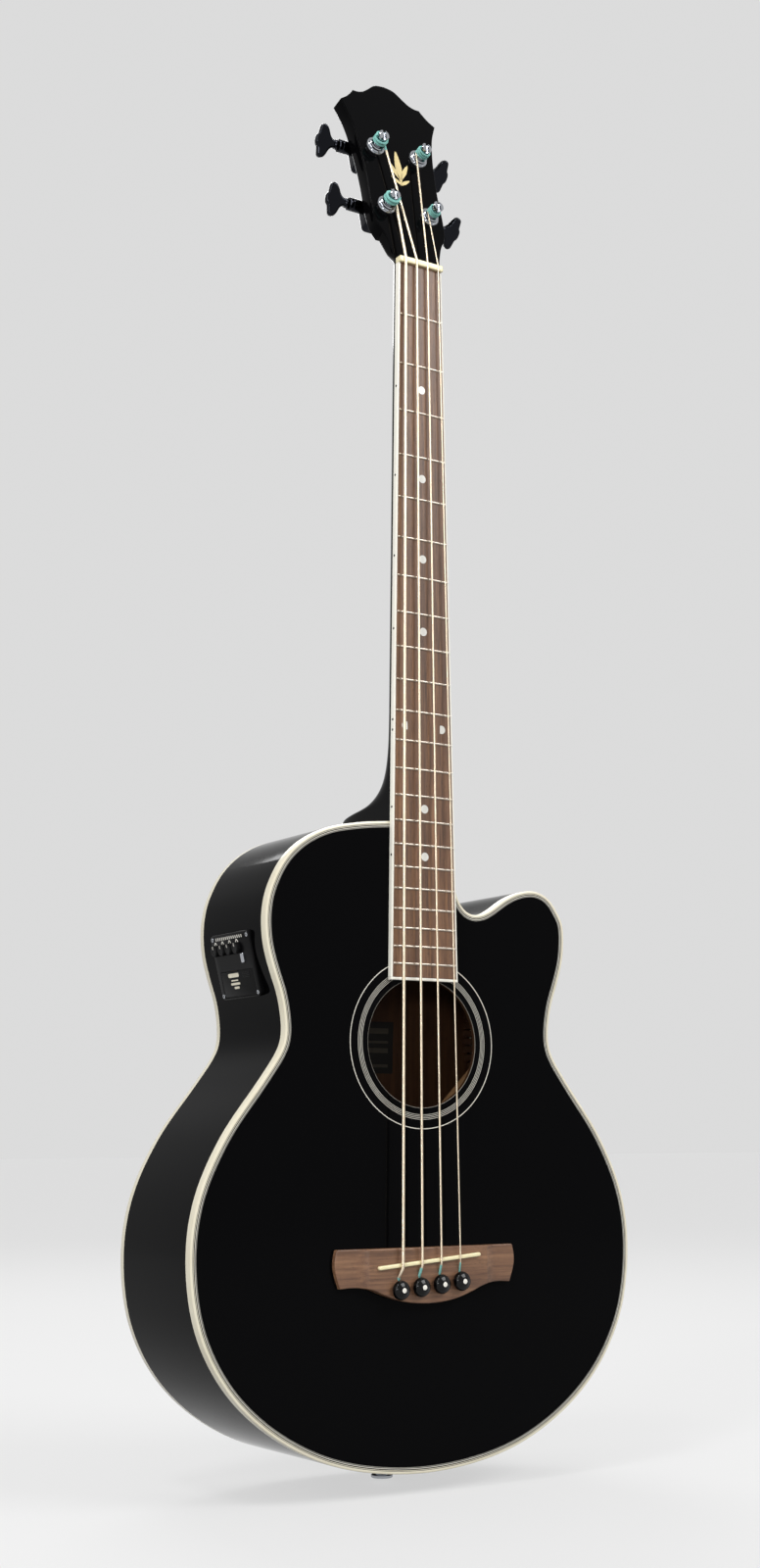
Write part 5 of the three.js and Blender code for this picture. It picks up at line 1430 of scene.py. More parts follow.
def strings():
    """Four wound strings with silk at their ends."""
    for string in STRINGS:
        path = np.array(string_path(string))
        run = along_line(path)
        start = run[-int(string.turns * COIL_STEPS) - 1] - string.wrap
        end = string.silk + SILK_BEYOND
        edges = [end - SILK_EDGE, end + SILK_EDGE, start - SILK_EDGE, start + SILK_EDGE]
        at = np.unique(np.r_[run, edges])
        path = np.c_[[np.interp(at, run, path[:, i]) for i in range(3)]].T
        silk = ((at < end) | (at > start)).astype(float)
        radii = string.gauge / 2 + 0.05 * silk
        made = tube("string", path, radii, ["string"], marks={"silk": silk})
        settle(made, "wound_string_" + string.name, "root", "bronze", "string_" + string.name)


# The bridge


def bridge_outline():
    """The bridge's outline: straight front edge, wings and a belly."""
    corner = curve(
        [
            (bridge.half * 0.945, -bridge.wing_below),
            (bridge.half, -bridge.wing_below * 0.17),
            (bridge.half * 0.985, bridge.above * 0.86),
            (bridge.half * 0.955, bridge.above),
        ],
        6,
    )
    lower = curve(BELLY_SHARES, 6) * (bridge.half, -bridge.belly)
    right = np.vstack([lower[::-1], corner[1:]])
    left = right[1:][::-1] * (-1, 1)
    return np.vstack([right, left])


def wing_drop(x):
    """How far the bridge's face falls towards its wings."""
    share = np.clip((np.abs(x) - bridge.scoop) / bridge.fall, 0, 1)
    return (bridge.height - bridge.wing) * (1 - (1 - share) ** 2)


def bridge_piece():
    """The rosewood bridge with its scooped wings, saddle slot and string ramps."""
    rows = slab(bridge_outline(), -bridge.height, -GLUE, 1.1, 0.0, 4)
    made = block_of("bridge", rows, on_front, ["bridge"])
    build = bmesh.new()
    build.from_mesh(made.data)
    for x in np.r_[np.linspace(bridge.scoop, bridge.scoop + bridge.fall, 9), 72, 78]:
        for side in (-1, 1):
            geometry = build.verts[:] + build.edges[:] + build.faces[:]
            plane = ((side * x) * MM, 0, 0)
            bmesh.ops.bisect_plane(build, geom=geometry, plane_co=plane, plane_no=(1, 0, 0), dist=1e-7)
    for vert in build.verts:
        y = vert.co.y / MM + ORIGIN[1]
        share = min(max((-GLUE - y) / (bridge.height - GLUE), 0), 1)
        vert.co.y += wing_drop(vert.co.x / MM) * share * MM
    bmesh.ops.triangulate(build, faces=[f for f in build.faces if len(f.verts) > 4])
    build.to_mesh(made.data)
    build.free()
    slot = block_of("cutter", slab(saddle_outline(SEAT * 0.5), -12, -saddle.floor), on_front, ["bridge"])
    ramps = [tube("cutter", string_path(s)[4:14], s.gauge / 2 + SEAT, ["bridge"]) for s in STRINGS]
    carve(made, slot, *pin_cutters(-12, 1), *ramps)
    smooth_below(made.data, 30)
    flat_faces(made, Vector((0, 1, 0)))
    settle(made, "bridge_block", "root", "rosewood", "bridge")


def saddle_outline(margin):
    """The saddle's long outline with round ends, slanted."""
    radius = saddle.width / 2 + margin
    run = saddle.half - saddle.width / 2
    tilt = math.atan(saddle.slope)
    points = []
    for side, start in ((1, -math.pi / 2), (-1, math.pi / 2)):
        for turn in np.linspace(start, start + math.pi, 11) + tilt:
            x = side * run * math.cos(tilt) + radius * math.cos(turn)
            z = saddle.forward + side * run * math.sin(tilt) + radius * math.sin(turn)
            points.append((x, z))
    return np.array(points)


def saddle_piece():
    """The slanted saddle with a rounded crest."""
    low = -saddle.floor - saddle.pickup - 2 * GLUE
    rows = slab(saddle_outline(0), -bridge.height - saddle.height, low, 0.9, 0.0, 4)
    settle(block_of("saddle", rows, on_front, ["bone"]), "slanted_saddle", "root", "ivory", "saddle")


def pins():
    """Bridge pins: black turned heads with a pale dot inside a fine ring."""
    rest = -bridge.height - SEAT
    top = -bridge.height - pin.height
    dome = [
        (pin.head * 0.66, rest), (pin.head * 0.97, rest - 1.6), (pin.head, rest - 3.4),
        (pin.head * 0.86, rest - 5.6), (pin.head * 0.55, top + 0.75), (pin.dot + 0.9, top + 0.25),
    ]
    profile = [(0, rest + pin.length), (pin.tip, rest + pin.length - 0.9), (pin.shank, rest)]
    profile += [tuple(row) for row in curve(dome, 5)]
    profile += [(pin.dot + 0.6, top + 0.15), (pin.dot + 0.35, top + 0.32), (pin.dot, top + 0.1)]
    profile += [(pin.dot * 0.6, top), (0, top)]
    last = len(profile) - 1
    for string in STRINGS:
        z = pin_height(string)

        def stand(across, up, height, x=string.x_pin, z=z):
            return np.c_[x + across, height, z + up]

        def which(row):
            return int(row >= last - 2)

        made = turned("pin", profile, stand, ["black_gloss", "white_plastic"], index_of=which)
        settle(made, "turned_pin_" + string.name, "root", "black_plastic", "bridge_pin_" + string.name)


# The tuners


def around_post(string):
    """Places a turned piece on a tuner's post."""

    def stand(across, up, height):
        return on_head(string.side * tuner.x + across, string.s + up, height)

    return stand


def along_worm(string, turn=0.0):
    """Places a piece on a tuner's worm: height runs outwards, across and up lie round the shaft."""

    def stand(across, up, height):
        y = across * math.cos(turn) - up * math.sin(turn)
        s = across * math.sin(turn) + up * math.cos(turn)
        return on_head(string.side * (tuner.x + height), string.s + gear.side + s, gear.depth + y)

    return stand


def tuner_pieces(string):
    """One tuner: bushing, slotted post, gear housing and key."""
    bore = post.radius + SEAT
    profile = [
        (bore, bushing.sleeve_length), (bushing.sleeve, bushing.sleeve_length), (bushing.sleeve, -GLUE),
        (bushing.flange, -GLUE), (bushing.flange, -0.5), (bushing.flange * 0.94, -bushing.flange_height),
        (bushing.radius + 0.4, -bushing.flange_height - 0.1), (bushing.radius, -bushing.flange_height - 0.5),
        (bushing.radius, -bushing.height + 0.6), (bushing.radius * 0.9, -bushing.height),
        (bore, -bushing.height),
    ]
    name = string.name
    made = turned("bushing", profile, around_post(string), ["chrome"], sides=36, ring=True)
    settle(made, "round_bushing_" + name, "root", "chrome", "tuner_bushing_" + name)
    settle(post_piece(string), "slotted_post_" + name, "post_" + name, "chrome", "tuner_post_" + name)
    settle(housing_piece(string), "gear_case_" + name, "root", "chrome", "tuner_housing_" + name)
    settle(key_piece(string), "winged_key_" + name, "key_" + name, "chrome", "tuner_key_" + name)


def post_piece(string):
    """The post with its slotted top and the worm wheel at its foot."""
    top = -post.height
    foot = gear.depth + gear.half + SEAT
    profile = [
        (0, foot), (post.radius, foot), (post.radius, -bushing.height), (post.waist, -bushing.height - 0.25),
        (post.waist, top + post.cap * 1.6), (post.top, top + post.cap), (post.top, top + 0.5),
        (post.top * 0.88, top), (0, top),
    ]
    made = turned("post", profile, around_post(string), ["chrome"], sides=28)
    x = string.side * tuner.x
    half = post.slot / 2
    slot = rounded(x - half, x + half, string.s - 10, string.s + 10, 0.2, 2)
    carve(made, block_of("cutter", slab(slot, top - 3, top + post.slot_depth), on_head, ["chrome"]))
    step = 2 * math.pi / gear.teeth
    outline = []
    for tooth in range(gear.teeth):
        tip = gear.addendum
        for offset, reach in ((-0.074, -0.8), (-0.03, tip), (0.03, tip), (0.074, -0.8)):
            turn = math.pi / 2 + tooth * step + offset
            radius = gear.pitch + reach
            outline.append((x + radius * math.cos(turn), string.s + radius * math.sin(turn)))
    rows = slab(np.array(outline), gear.depth - gear.half, gear.depth + gear.half)
    return joined([made, block_of("wheel", rows, on_head, ["steel"])])


def housing_piece(string):
    """The closed gear case with the boss that carries the key's shaft."""
    x, s = string.side * tuner.x, string.s
    low, high = s - housing.below, s + housing.above
    outline = rounded(x - housing.half, x + housing.half, low, high, housing.corner)
    rows = slab(outline, head.thickness + SEAT, head.thickness + housing.depth, 0.3, 2.2, 5)
    case = block_of("case", rows, on_head, ["dark_chrome"])
    bore = key.shaft + SEAT
    profile = [
        (bore, housing.half - 2), (housing.boss, housing.half - 2), (housing.boss, housing.boss_end - 4),
        (housing.boss * 0.94, housing.boss_end - 3.6), (housing.boss * 0.94, housing.boss_end - 2.6),
        (housing.boss, housing.boss_end - 2.2), (housing.boss, housing.boss_end - 0.5),
        (housing.boss - 0.5, housing.boss_end), (bore, housing.boss_end),
    ]
    boss = turned("boss", profile, along_worm(string), ["dark_chrome"], ring=True)
    made = joined([case, boss])
    screw = circle(x - string.side * 7.2, s - 7.6, 2.0)
    rows = slab(screw, head.thickness + housing.depth - 0.6, head.thickness + housing.depth + 0.4, 0, 0.3)
    return joined([made, block_of("screw", rows, on_head, ["steel"])])


def key_piece(string):
    """The key: a worm inside, a shaft, a collar and a flat lobed button."""
    stand = along_worm(string, string.key_turn * string.side)
    profile = [
        (0, -gear.reach), (2.3, -gear.reach), (2.3, gear.reach), (key.shaft, gear.reach),
        (key.shaft, key.start - 1), (key.stem, key.start - 0.7), (key.stem + 0.3, key.start),
        (key.stem + 0.3, key.start + 1.4),
        (key.stem * 0.8, key.start + key.stem_length), (0, key.start + key.stem_length),
    ]
    shaft = turned("shaft", profile, stand, ["dark_chrome"], sides=24)
    half = curve(BUTTON_SHARES, 5) * (key.length, key.half)
    half = half[half[:, 1] >= 0]
    outline = np.vstack([half, half[::-1] * (1, -1)])
    rows = slab(outline, -key.thickness / 2, key.thickness / 2, 1.9, 1.9, 5)
    flat = rows.reshape(-1, 3)
    start = key.start + key.stem_length / 2
    pinch = 1 - 0.16 * np.clip(flat[:, 0] / key.length, 0, 1)
    points = stand(flat[:, 2] * pinch, flat[:, 1], start + flat[:, 0])
    button = mesh_of("button", points, grid_faces(len(rows), rows.shape[1], caps=True), ["dark_chrome"])
    return joined([shaft, button, worm(string)])


def worm(string):
    """One thread wound round the key's inner end."""
    lead = 2 * math.pi * gear.pitch / gear.teeth
    place = along_worm(string)
    rows = []
    for turn in np.linspace(-1.25, 1.25, 51):
        middle = lead * (turn + 0.5)
        around = 2 * math.pi * turn
        row = []
        for along, radius in ((-0.56, 2.0), (-0.22, 3.75), (0.22, 3.75), (0.56, 2.0)):
            out = (middle + along) * string.side
            row.append(place(radius * math.sin(around), -radius * math.cos(around), out)[0])
        rows.append(row)
    rows = np.array(rows)
    return mesh_of("thread", rows, grid_faces(len(rows), 4, caps=True), ["steel"])


# The preamp in the side


def knob_across(order):
    """Where a knob stands across the panel."""
    return knob.shift + knob.pitch * (order - 1.5)


def door_outline(margin, corner):
    """The battery door's outline, wider all round by a margin."""
    half = door.width / 2 + margin
    return rounded(-half, half, door.bottom - margin, door.bottom + door.length + margin, corner)


def press_outline(margin, corner):
    """The push button's outline, wider all round by a margin."""
    wide, tall = press.width / 2 + margin, press.length / 2 + margin
    return rounded(press.across - wide, press.across + wide, press.row - tall, press.row + tall, corner)


def preamp_panel():
    """The panel, cut to the side behind it and for its knobs, button and battery door."""
    outline = rounded(-panel.width / 2, panel.width / 2, -panel.length / 2, panel.length / 2, panel.corner)
    made = block_of("panel", slab(outline, -panel.skirt, panel.face, 0, 0.8), on_panel, ["black_plastic"])
    solid_body = np.array([lifted(inset(OUTLINE, -SEAT), depth) for depth in (-3, 140)])
    cutters = [mesh_of("cutter", solid_body, grid_faces(2, len(OUTLINE), caps=True), ["lacquer"])]
    for i in range(4):
        place = circle(knob_across(i), knob.row, knob.shaft + SEAT)
        cutters.append(block_of("cutter", slab(place, -9, 9), on_panel, ["lacquer"]))
    for shape in (door_outline(door.clear, 1.3), press_outline(SEAT, 1.2)):
        cutters.append(block_of("cutter", slab(shape, -9, 9), on_panel, ["lacquer"]))
    carve(made, *cutters)
    settle(made, "control_panel", "root", "black_plastic", "preamp_panel")


def panel_turn():
    """The turn that lays a block's axes on the panel's across, up and out."""
    axes = Matrix((-Vector((0, 1, 0)), Vector(PANEL_UP), Vector(PANEL_OUT))).transposed()
    return tuple(axes.to_euler())


def panel_marks():
    """Plain ticks, pointer marks over the knobs and the corner screws."""
    turn = panel_turn()
    face = panel.face
    ticks = [(tick.first + tick.pitch * i, tick.row, face) for i in range(tick.count)]
    values = {"Size": tick.size, "Turn": turn, "Material": finish("white_plastic")}
    marks = [grown("ticks", "blocks", on_panel(*np.array(ticks).T), values)]
    for side in (-1, 1):
        places = [(knob_across(i) + side * pointer.apart, pointer.row, face) for i in range(4)]
        lean_turn = Matrix.Rotation(side * pointer.lean, 3, Vector(PANEL_OUT)) @ axes_of(turn)
        values["Size"] = pointer.size
        values["Turn"] = tuple(lean_turn.to_euler())
        marks.append(grown("pointers", "blocks", on_panel(*np.array(places).T), values))
    settle(joined(marks), "panel_marks", "root", "black_plastic")
    height = face + panel_screw.out
    corners = [(a * panel_screw.across, u * panel_screw.up, height) for a in (-1, 1) for u in (-1, 1)]
    head_turn = Vector((0, 0, 1)).rotation_difference(Vector(PANEL_OUT)).to_euler()
    values = {
        "Radius": panel_screw.radius, "Thickness": panel_screw.thickness, "Turn": tuple(head_turn),
        "Sides": 20, "Material": finish("chrome"),
    }
    screws = [bevel(grown("screws", "discs", on_panel(*np.array(corners).T), values), 0.3)]
    slots = [(a, u, out + 0.42) for a, u, out in corners]
    for size in ((0.5, 2.2, 0.1), (2.2, 0.5, 0.1)):
        values = {"Size": size, "Turn": turn, "Material": finish("black_satin")}
        screws.append(grown("slots", "blocks", on_panel(*np.array(slots).T), values))
    settle(joined(screws), "panel_screws", "root", "chrome")


def axes_of(turn):
    """The matrix of a turn given as Euler angles."""
    x, y, z = (Matrix.Rotation(angle, 3, axis) for angle, axis in zip(turn, "XYZ"))
    return z @ y @ x


def knobs():
    """Ribbed knobs with a pale pointer line."""
    start = panel.face + SEAT
    for i in range(4):

        def stand(a, u, out, across=knob_across(i)):
            return on_panel(across + a, knob.row + u, out)

        profile = [
            (0, -knob.reach), (knob.shaft, -knob.reach), (knob.shaft, start), (knob.radius * 0.94, start),
            (knob.radius * 0.94, start + 0.6), (knob.radius * 0.86, start + knob.height - 0.7),
            (knob.radius * 0.78, start + knob.height - 0.1), (knob.radius * 0.62, start + knob.height),
            (knob.radius * 0.55, start + knob.height - 0.3), (0, start + knob.height - 0.3),
        ]
        parts = [turned("knob", profile, stand, ["black_satin"], sides=36)]
        values = {
            "Count": 24, "Radius": knob.radius * 0.9, "Size": (0.5, 0.45, knob.height - 1.0),
            "Material": finish("black_satin"),
        }
        middle = start + knob.height / 2

        def ribs(x, y, z, stand=stand, middle=middle):
            return stand(x, y, z + middle)

        parts.append(grown("ribs", "ridges", [(0, 0, 0)], values, move=ribs))
        line = rounded(-0.25, 0.25, 1.6, knob.radius * 0.86, 0.2, 2)
        rows = slab(line, start + knob.height - 0.5, start + knob.height + 0.04)
        parts.append(block_of("line", rows, stand, ["white_plastic"]))
        label = "knob_%d" % (i + 1)
        settle(joined(parts), "ribbed_" + label, label, "black_plastic", "preamp_" + label)


# Plain stripes on the battery door: middle across and up, width and height
LID_STRIPES = [(-6, -7.2, 17, 3.2), (-5.4, -11.2, 11, 1.0), (-5.1, -13.9, 14.5, 1.8), (-4, -17, 8, 1.8)]


def preamp_small_parts():
    """The push button, the battery door with its grip and plain stripes, and the ribs on the box inside."""
    rows = slab(press_outline(0, 1), -press.reach, panel.face + press.proud, 0, 0.5)
    made = block_of("cap", rows, on_panel, ["chrome"])
    settle(made, "push_cap", "button", "black_plastic", "preamp_button")
    rows = slab(door_outline(0, 1), panel.face - door.thickness, panel.face, 0, 0.4)
    parts = [block_of("lid", rows, on_panel, ["black_plastic"])]
    top = door.bottom + door.length - 1.8
    grips = [(14, top - 1.3 * i, panel.face) for i in range(4)]
    values = {"Size": (12.0, 0.6, 0.5), "Turn": panel_turn(), "Material": finish("black_plastic")}
    parts.append(grown("grip", "blocks", on_panel(*np.array(grips).T), values))
    for across, up, wide, tall in LID_STRIPES:
        low, high = up - tall / 2, up + tall / 2
        outline = rounded(across - wide / 2, across + wide / 2, low, high, tall * 0.45, 3)
        rows = slab(outline, panel.face - 0.3, panel.face + 0.07)
        parts.append(block_of("stripe", rows, on_panel, ["ivory"]))
    settle(joined(parts), "battery_lid", "door", "black_plastic", "battery_door")
    ribs = [(0, -16 + 8 * i, -28.6) for i in range(5)]
    values = {"Size": (50.0, 3.2, 1.6), "Turn": panel_turn(), "Material": finish("black_satin")}
    made = grown("ribs", "blocks", on_panel(*np.array(ribs).T), values)
    settle(made, "box_ribs", "root", "black_plastic")


def output_jack():
    """The jack in the tail, which the strap also goes over."""
    profile = [
        (jack.bore, -jack.inner), (jack.barrel, -jack.inner), (jack.barrel, GLUE), (jack.washer, GLUE),
        (jack.washer, jack.washer_depth - 0.3), (jack.washer - 0.4, jack.washer_depth),
        (jack.neck + 0.6, jack.washer_depth + 0.2), (jack.neck, jack.washer_depth * 1.7),
        (jack.neck, jack.proud - jack.lip * 1.5), (jack.flange - 0.4, jack.proud - jack.lip),
        (jack.flange, jack.proud - jack.lip + 0.4), (jack.flange, jack.proud - 0.5),
        (jack.flange - 0.5, jack.proud), (jack.bore + 0.6, jack.proud), (jack.bore, jack.proud - 0.6),
    ]
    made = turned("jack", profile, on_tail, ["chrome"], sides=40, ring=True)
    settle(made, "strap_jack", "root", "chrome", "output_jack")


# What stays as it is in the model and only gets its finish

CARRIED = {
    "neck_block": "mahogany", "tail_block": "mahogany", "x_brace_bass": "spruce", "x_brace_treble": "spruce",
    "upper_brace": "spruce_across", "tone_bar": "spruce_across", "bridge_plate": "spruce_across",
    "back_brace_lower": "spruce_across", "back_brace_middle": "spruce_across",
    "back_brace_upper": "spruce_across", "truss_rod": "steel", "saddle_pickup": "steel",
    "preamp_housing": "black_satin", "battery": "foil",
}


def carried_nodes():
    """Gives the model's own inner pieces their finishes."""
    for name, label in CARRIED.items():
        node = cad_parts[name]
        if not node.material_slots:
            node.data.materials.append(finish(label))
        for slot in node.material_slots:
            slot.material = finish(label)


# The stage

FOCAL_PIXELS = 2036.98
IMAGE_HEIGHT = 1600
CAMERA_PLACE = (-871.33, -1315.47, 91.28)
CAMERA_TURN = (-0.1734, -0.5626, 0.0461)
FLOOR_GAP = 0.004  # metres under the jack
FLOOR_REACH = 30.0  # metres from the middle to each side
BACKDROP_GLOW = 0.92


def camera():
    """A camera at the photograph's place and angle."""
    lens = bpy.data.cameras.new("camera")
    lens.sensor_fit = "AUTO"
    lens.sensor_width = 36.0
    lens.lens = FOCAL_PIXELS / IMAGE_HEIGHT * lens.sensor_width
    made = bpy.data.objects.new("camera", lens)
    bpy.context.scene.collection.objects.link(made)
    turn = Vector(CAMERA_TURN)
    level = Matrix(((1, 0, 0), (0, 0, -1), (0, 1, 0)))
    rows = Matrix.Rotation(turn.length, 3, turn.normalized()) @ level
    axes = Matrix((rows[0], -rows[1], -rows[2])).transposed()
    place = Vector((np.array(CAMERA_PLACE) - ORIGIN) * MM)
    made.matrix_world = Matrix.Translation(place) @ axes.to_4x4()
    bpy.context.scene.camera = made


def lamp(name, place, target, size, power):
    """A soft rectangular lamp that looks at a place."""
    data = bpy.data.lights.new(name, "AREA")
    data.shape = "RECTANGLE"
    data.size, data.size_y = size
    data.energy = power
    made = bpy.data.objects.new(name, data)
    made.location = place
    made.rotation_euler = (Vector(target) - Vector(place)).to_track_quat("-Z", "Y").to_euler()
    bpy.context.scene.collection.objects.link(made)


def seen_directly(nodes):
    """1 where the camera sees a surface straight, in a reflection or through glass."""
    path = nodes.node("ShaderNodeLightPath", output="Is Camera Ray")
    return path.greater(path.out("Is Glossy Ray")).greater(path.out("Is Transmission Ray"))


def stage():
    """The floor, the pale surroundings and the lamps."""
    settings = bpy.context.scene.bass_stage
    pale = opaque(settings.backdrop)
    floor = bpy.data.meshes.new("floor")
    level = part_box("output_jack")[0].z - FLOOR_GAP
    corners = [(x * FLOOR_REACH, y * FLOOR_REACH, level) for x, y in ((-1, -1), (1, -1), (1, 1), (-1, 1))]
    floor.from_pydata(corners, [], [(0, 1, 2, 3)])
    made = bpy.data.objects.new("floor", floor)
    bpy.context.scene.collection.objects.link(made)

    def wires(nodes):
        cloud = nodes.noise(nodes.place(), 0.002, 2.0)
        glow = nodes.blend(seen_directly(nodes), (0, 0, 0, 1), pale)
        base = nodes.blend(cloud * 0.1, tone("7c7c7c"), tone("767676"))
        return {"Base Color": base, "Emission Color": glow}

    matte = finish_of("floor", wires=wires, Roughness=0.9, Emission_Strength=settings.floor_glow)
    floor.materials.append(matte)
    world = bpy.data.worlds.new("surroundings")
    world.use_nodes = True
    nodes = Nodes(world.node_tree)
    nodes.tree.nodes.clear()
    seen = seen_directly(nodes)
    shown = nodes.node("ShaderNodeBackground", None, {"Color": pale, "Strength": BACKDROP_GLOW})
    lit = nodes.node("ShaderNodeBackground", None, {"Color": (1, 1, 1, 1), "Strength": settings.ambient})
    mixed = nodes.node("ShaderNodeMixShader", None, {0: seen, 1: lit, 2: shown})
    nodes.node("ShaderNodeOutputWorld", None, {"Surface": mixed})
    bpy.context.scene.world = world
    target = (0, 0, -0.5)
    lamp("key", (1.5, -2.6, 1.7), target, (2.2, 1.4), settings.key)
    lamp("fill", (-2.6, -1.4, 0.4), target, (0.6, 2.4), settings.fill)
    lamp("edge", (-1.6, -0.9, 2.0), (0, 0, -0.2), (0.55, 0.55), settings.edge)
    lamp("glint", (-1.3, -1.9, -0.5), (0, 0, 0.1), (0.5, 0.16), settings.glint)
    lamp("behind", (0.6, 2.2, 1.4), target, (1.6, 1.0), settings.rear)
    bpy.context.scene.view_settings.view_transform = "Standard"
    camera()


# The add-on


def length(name, text, millimetres):
    """A size that the user sets."""
    return bpy.props.FloatProperty(
        name=name, description=text, default=millimetres * MM, unit="LENGTH", precision=5
    )


def colour(name, text, figures):
    """A colour that the user sets."""
    return bpy.props.FloatVectorProperty(
        name=name, description=text, default=tone(figures)[:3], subtype="COLOR", min=0.0, max=1.0
    )


def watts(name, text, power):
    """A lamp's power."""
    return bpy.props.FloatProperty(name=name, description=text, default=power, min=0.0, unit="POWER")


def strength(name, text, value):
    """A plain number from 0 up."""
    return bpy.props.FloatProperty(name=name, description=text, default=value, min=0.0)


def count(name, text, value, low, high):
    """A whole number between two limits."""
    return bpy.props.IntProperty(name=name, description=text, default=value, min=low, max=high)


class BassStageSettings(bpy.types.PropertyGroup):
    """Light and surroundings."""

    backdrop: colour("Backdrop", "Colour of the floor and of what lies behind", "e4e4e4")
    ambient: strength("Ambient", "Light from all round", 0.45)
    key: watts("Key lamp", "Power of the lamp at the right", 84.0)
    fill: watts("Fill lamp", "Power of the lamp at the left", 34.0)
    edge: watts("Edge lamp", "Power of the small lamp high at the left", 26.0)
    glint: watts("Glint lamp", "Power of the strip low at the left", 7.0)
    rear: watts("Rear lamp", "Power of the lamp behind", 30.0)
    floor_glow: strength("Floor glow", "Light of the floor itself", 0.74)


class BassBodySettings(bpy.types.PropertyGroup):
    """Colours and rings of the body."""

    lacquer: colour("Lacquer", "Colour of body, neck and headstock", "060607")
    binding: colour("Binding", "Colour of the edge strips", "ece6d2")
    outer_ring: length("Outer ring", "Radius of the single ring round the soundhole", 66.4)
    inner_ring: length("Inner rings", "Radius of the first of the fine rings", 55.6)
    ring_lines: count("Fine rings", "How many fine rings", 4, 0, 8)


class BassNeckSettings(bpy.types.PropertyGroup):
    """Frets and inlays."""

    frets: count("Frets", "How many frets", 22, 1, 30)
    fret_width: length("Fret width", "Width of a fret wire's crown", 2.0)
    fret_crown: length("Fret crown", "Height of a fret wire", 1.0)
    dot: length("Dot", "Radius of the dots on the board", 3.45)


class BassStringSettings(bpy.types.PropertyGroup):
    """Winding and silk."""

    winding: length("Winding pitch", "Distance from turn to turn of the winding", 0.6)
    bronze: colour("Bronze", "Colour of the winding", "f6e8d0")
    silk: colour("Silk", "Colour of the silk at both ends", "a4e2d8")


class PieceOperator:
    """What the operators that make pieces share."""

    bl_options = {"REGISTER", "UNDO"}


class BASS_OT_stage(PieceOperator, bpy.types.Operator):
    """Sets up the floor, lamps and camera"""

    bl_idname = "bass.stage"
    bl_label = "Stage"

    def execute(self, context):
        stage()
        return {"FINISHED"}


class BASS_OT_body(PieceOperator, bpy.types.Operator):
    """Makes the plates, sides, edge strips and linings of the body"""

    bl_idname = "bass.body"
    bl_label = "Body"

    def execute(self, context):
        soundboard()
        back_plate()
        rim()
        bindings()
        linings()
        label()
        return {"FINISHED"}


class BASS_OT_neck(PieceOperator, bpy.types.Operator):
    """Makes the neck, the headstock and its inlay"""

    bl_idname = "bass.neck"
    bl_label = "Neck"

    def execute(self, context):
        neck_piece()
        ornament()
        return {"FINISHED"}


class BASS_OT_fretboard(PieceOperator, bpy.types.Operator):
    """Makes the fretboard, frets, dots, edge strips and nut"""

    bl_idname = "bass.fretboard"
    bl_label = "Fretboard"

    def execute(self, context):
        fretboard()
        nut_piece()
        return {"FINISHED"}


class BASS_OT_bridge(PieceOperator, bpy.types.Operator):
    """Makes the bridge, saddle and pins"""

    bl_idname = "bass.bridge"
    bl_label = "Bridge"

    def execute(self, context):
        bridge_piece()
        saddle_piece()
        pins()
        return {"FINISHED"}


class BASS_OT_strings(PieceOperator, bpy.types.Operator):
    """Strings the bass"""

    bl_idname = "bass.strings"
    bl_label = "Strings"

    def execute(self, context):
        strings()
        return {"FINISHED"}


class BASS_OT_tuners(PieceOperator, bpy.types.Operator):
    """Makes the four tuners"""

    bl_idname = "bass.tuners"
    bl_label = "Tuners"

    def execute(self, context):
        for string in STRINGS:
            tuner_pieces(string)
        return {"FINISHED"}


class BASS_OT_preamp(PieceOperator, bpy.types.Operator):
    """Makes the preamp's panel, marks, knobs, button and battery door"""

    bl_idname = "bass.preamp"
    bl_label = "Preamp"

    def execute(self, context):
        preamp_panel()
        panel_marks()
        knobs()
        preamp_small_parts()
        return {"FINISHED"}


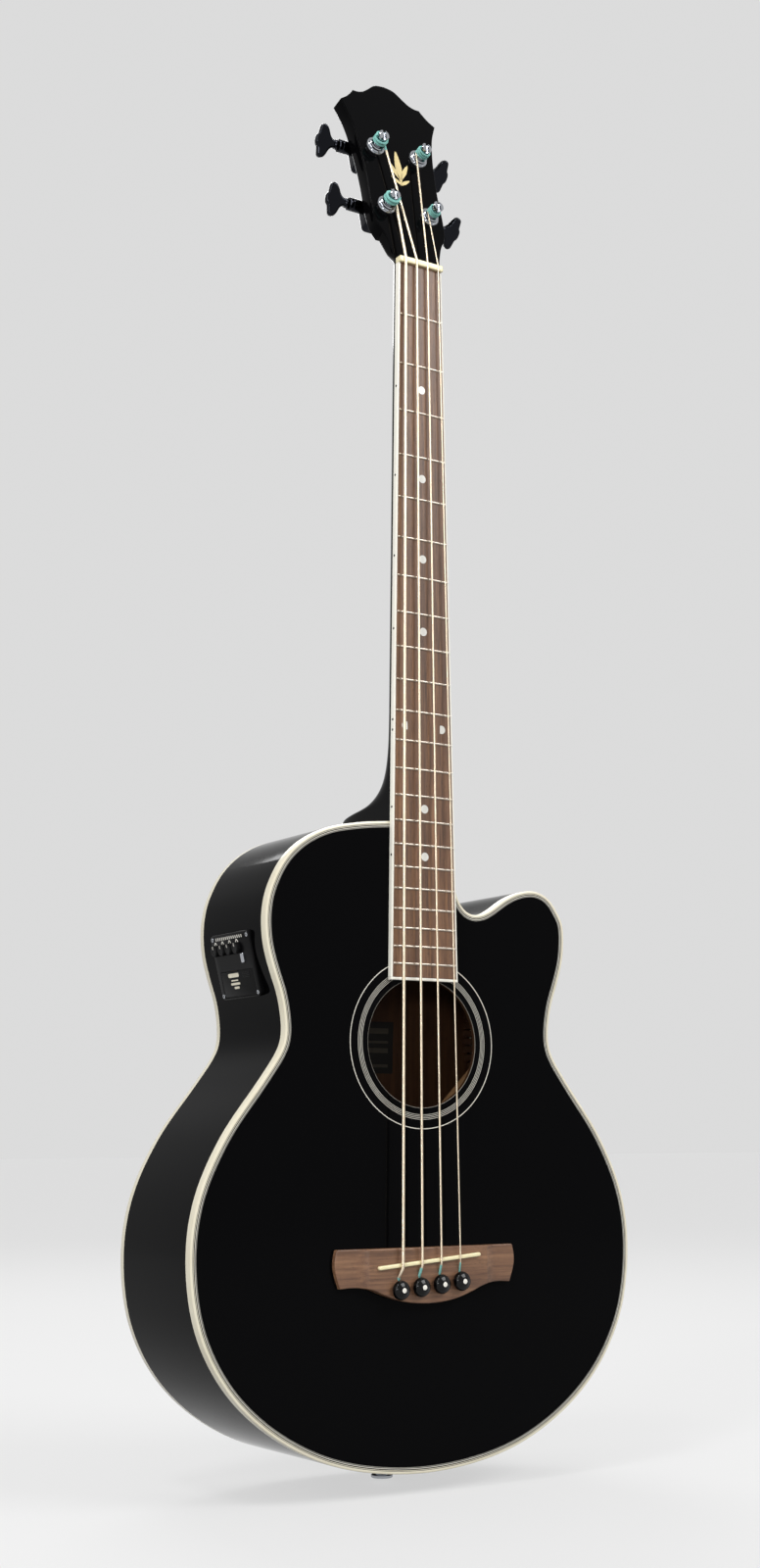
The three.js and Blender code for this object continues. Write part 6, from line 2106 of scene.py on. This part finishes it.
class BASS_OT_jack(PieceOperator, bpy.types.Operator):
    """Makes the output jack"""

    bl_idname = "bass.jack"
    bl_label = "Output jack"

    def execute(self, context):
        output_jack()
        return {"FINISHED"}


class BASS_OT_inner(PieceOperator, bpy.types.Operator):
    """Gives the braces, blocks and other inner pieces their finishes"""

    bl_idname = "bass.inner"
    bl_label = "Inner pieces"

    def execute(self, context):
        carried_nodes()
        return {"FINISHED"}


OPERATORS = [
    BASS_OT_stage, BASS_OT_body, BASS_OT_neck, BASS_OT_fretboard, BASS_OT_bridge, BASS_OT_strings,
    BASS_OT_tuners, BASS_OT_preamp, BASS_OT_jack, BASS_OT_inner,
]
SETTINGS = {
    "bass_stage": BassStageSettings,
    "bass_body": BassBodySettings,
    "bass_neck": BassNeckSettings,
    "bass_strings": BassStringSettings,
}


class BASS_PT_panel(bpy.types.Panel):
    """Lists the settings and the steps"""

    bl_idname = "BASS_PT_panel"
    bl_label = "Acoustic bass"
    bl_space_type = "VIEW_3D"
    bl_region_type = "UI"
    bl_category = "Acoustic bass"

    def draw(self, context):
        for name, group in SETTINGS.items():
            box = self.layout.box()
            for label in group.__annotations__:
                box.prop(getattr(context.scene, name), label)
        for operator in OPERATORS:
            self.layout.operator(operator.bl_idname)


CLASSES = [*SETTINGS.values(), *OPERATORS, BASS_PT_panel]


def register():
    """Registers the classes and their settings."""
    for made in CLASSES:
        bpy.utils.register_class(made)
    for name, group in SETTINGS.items():
        setattr(bpy.types.Scene, name, bpy.props.PointerProperty(type=group))


def unregister():
    """Takes them out again."""
    for name in SETTINGS:
        delattr(bpy.types.Scene, name)
    for made in reversed(CLASSES):
        bpy.utils.unregister_class(made)


def main():
    """Runs every step in order."""
    register()
    bpy.ops.bass.stage()
    bpy.ops.bass.body()
    bpy.ops.bass.neck()
    bpy.ops.bass.fretboard()
    bpy.ops.bass.bridge()
    bpy.ops.bass.strings()
    bpy.ops.bass.tuners()
    bpy.ops.bass.preamp()
    bpy.ops.bass.jack()
    bpy.ops.bass.inner()


if __name__ == "__main__":
    main()
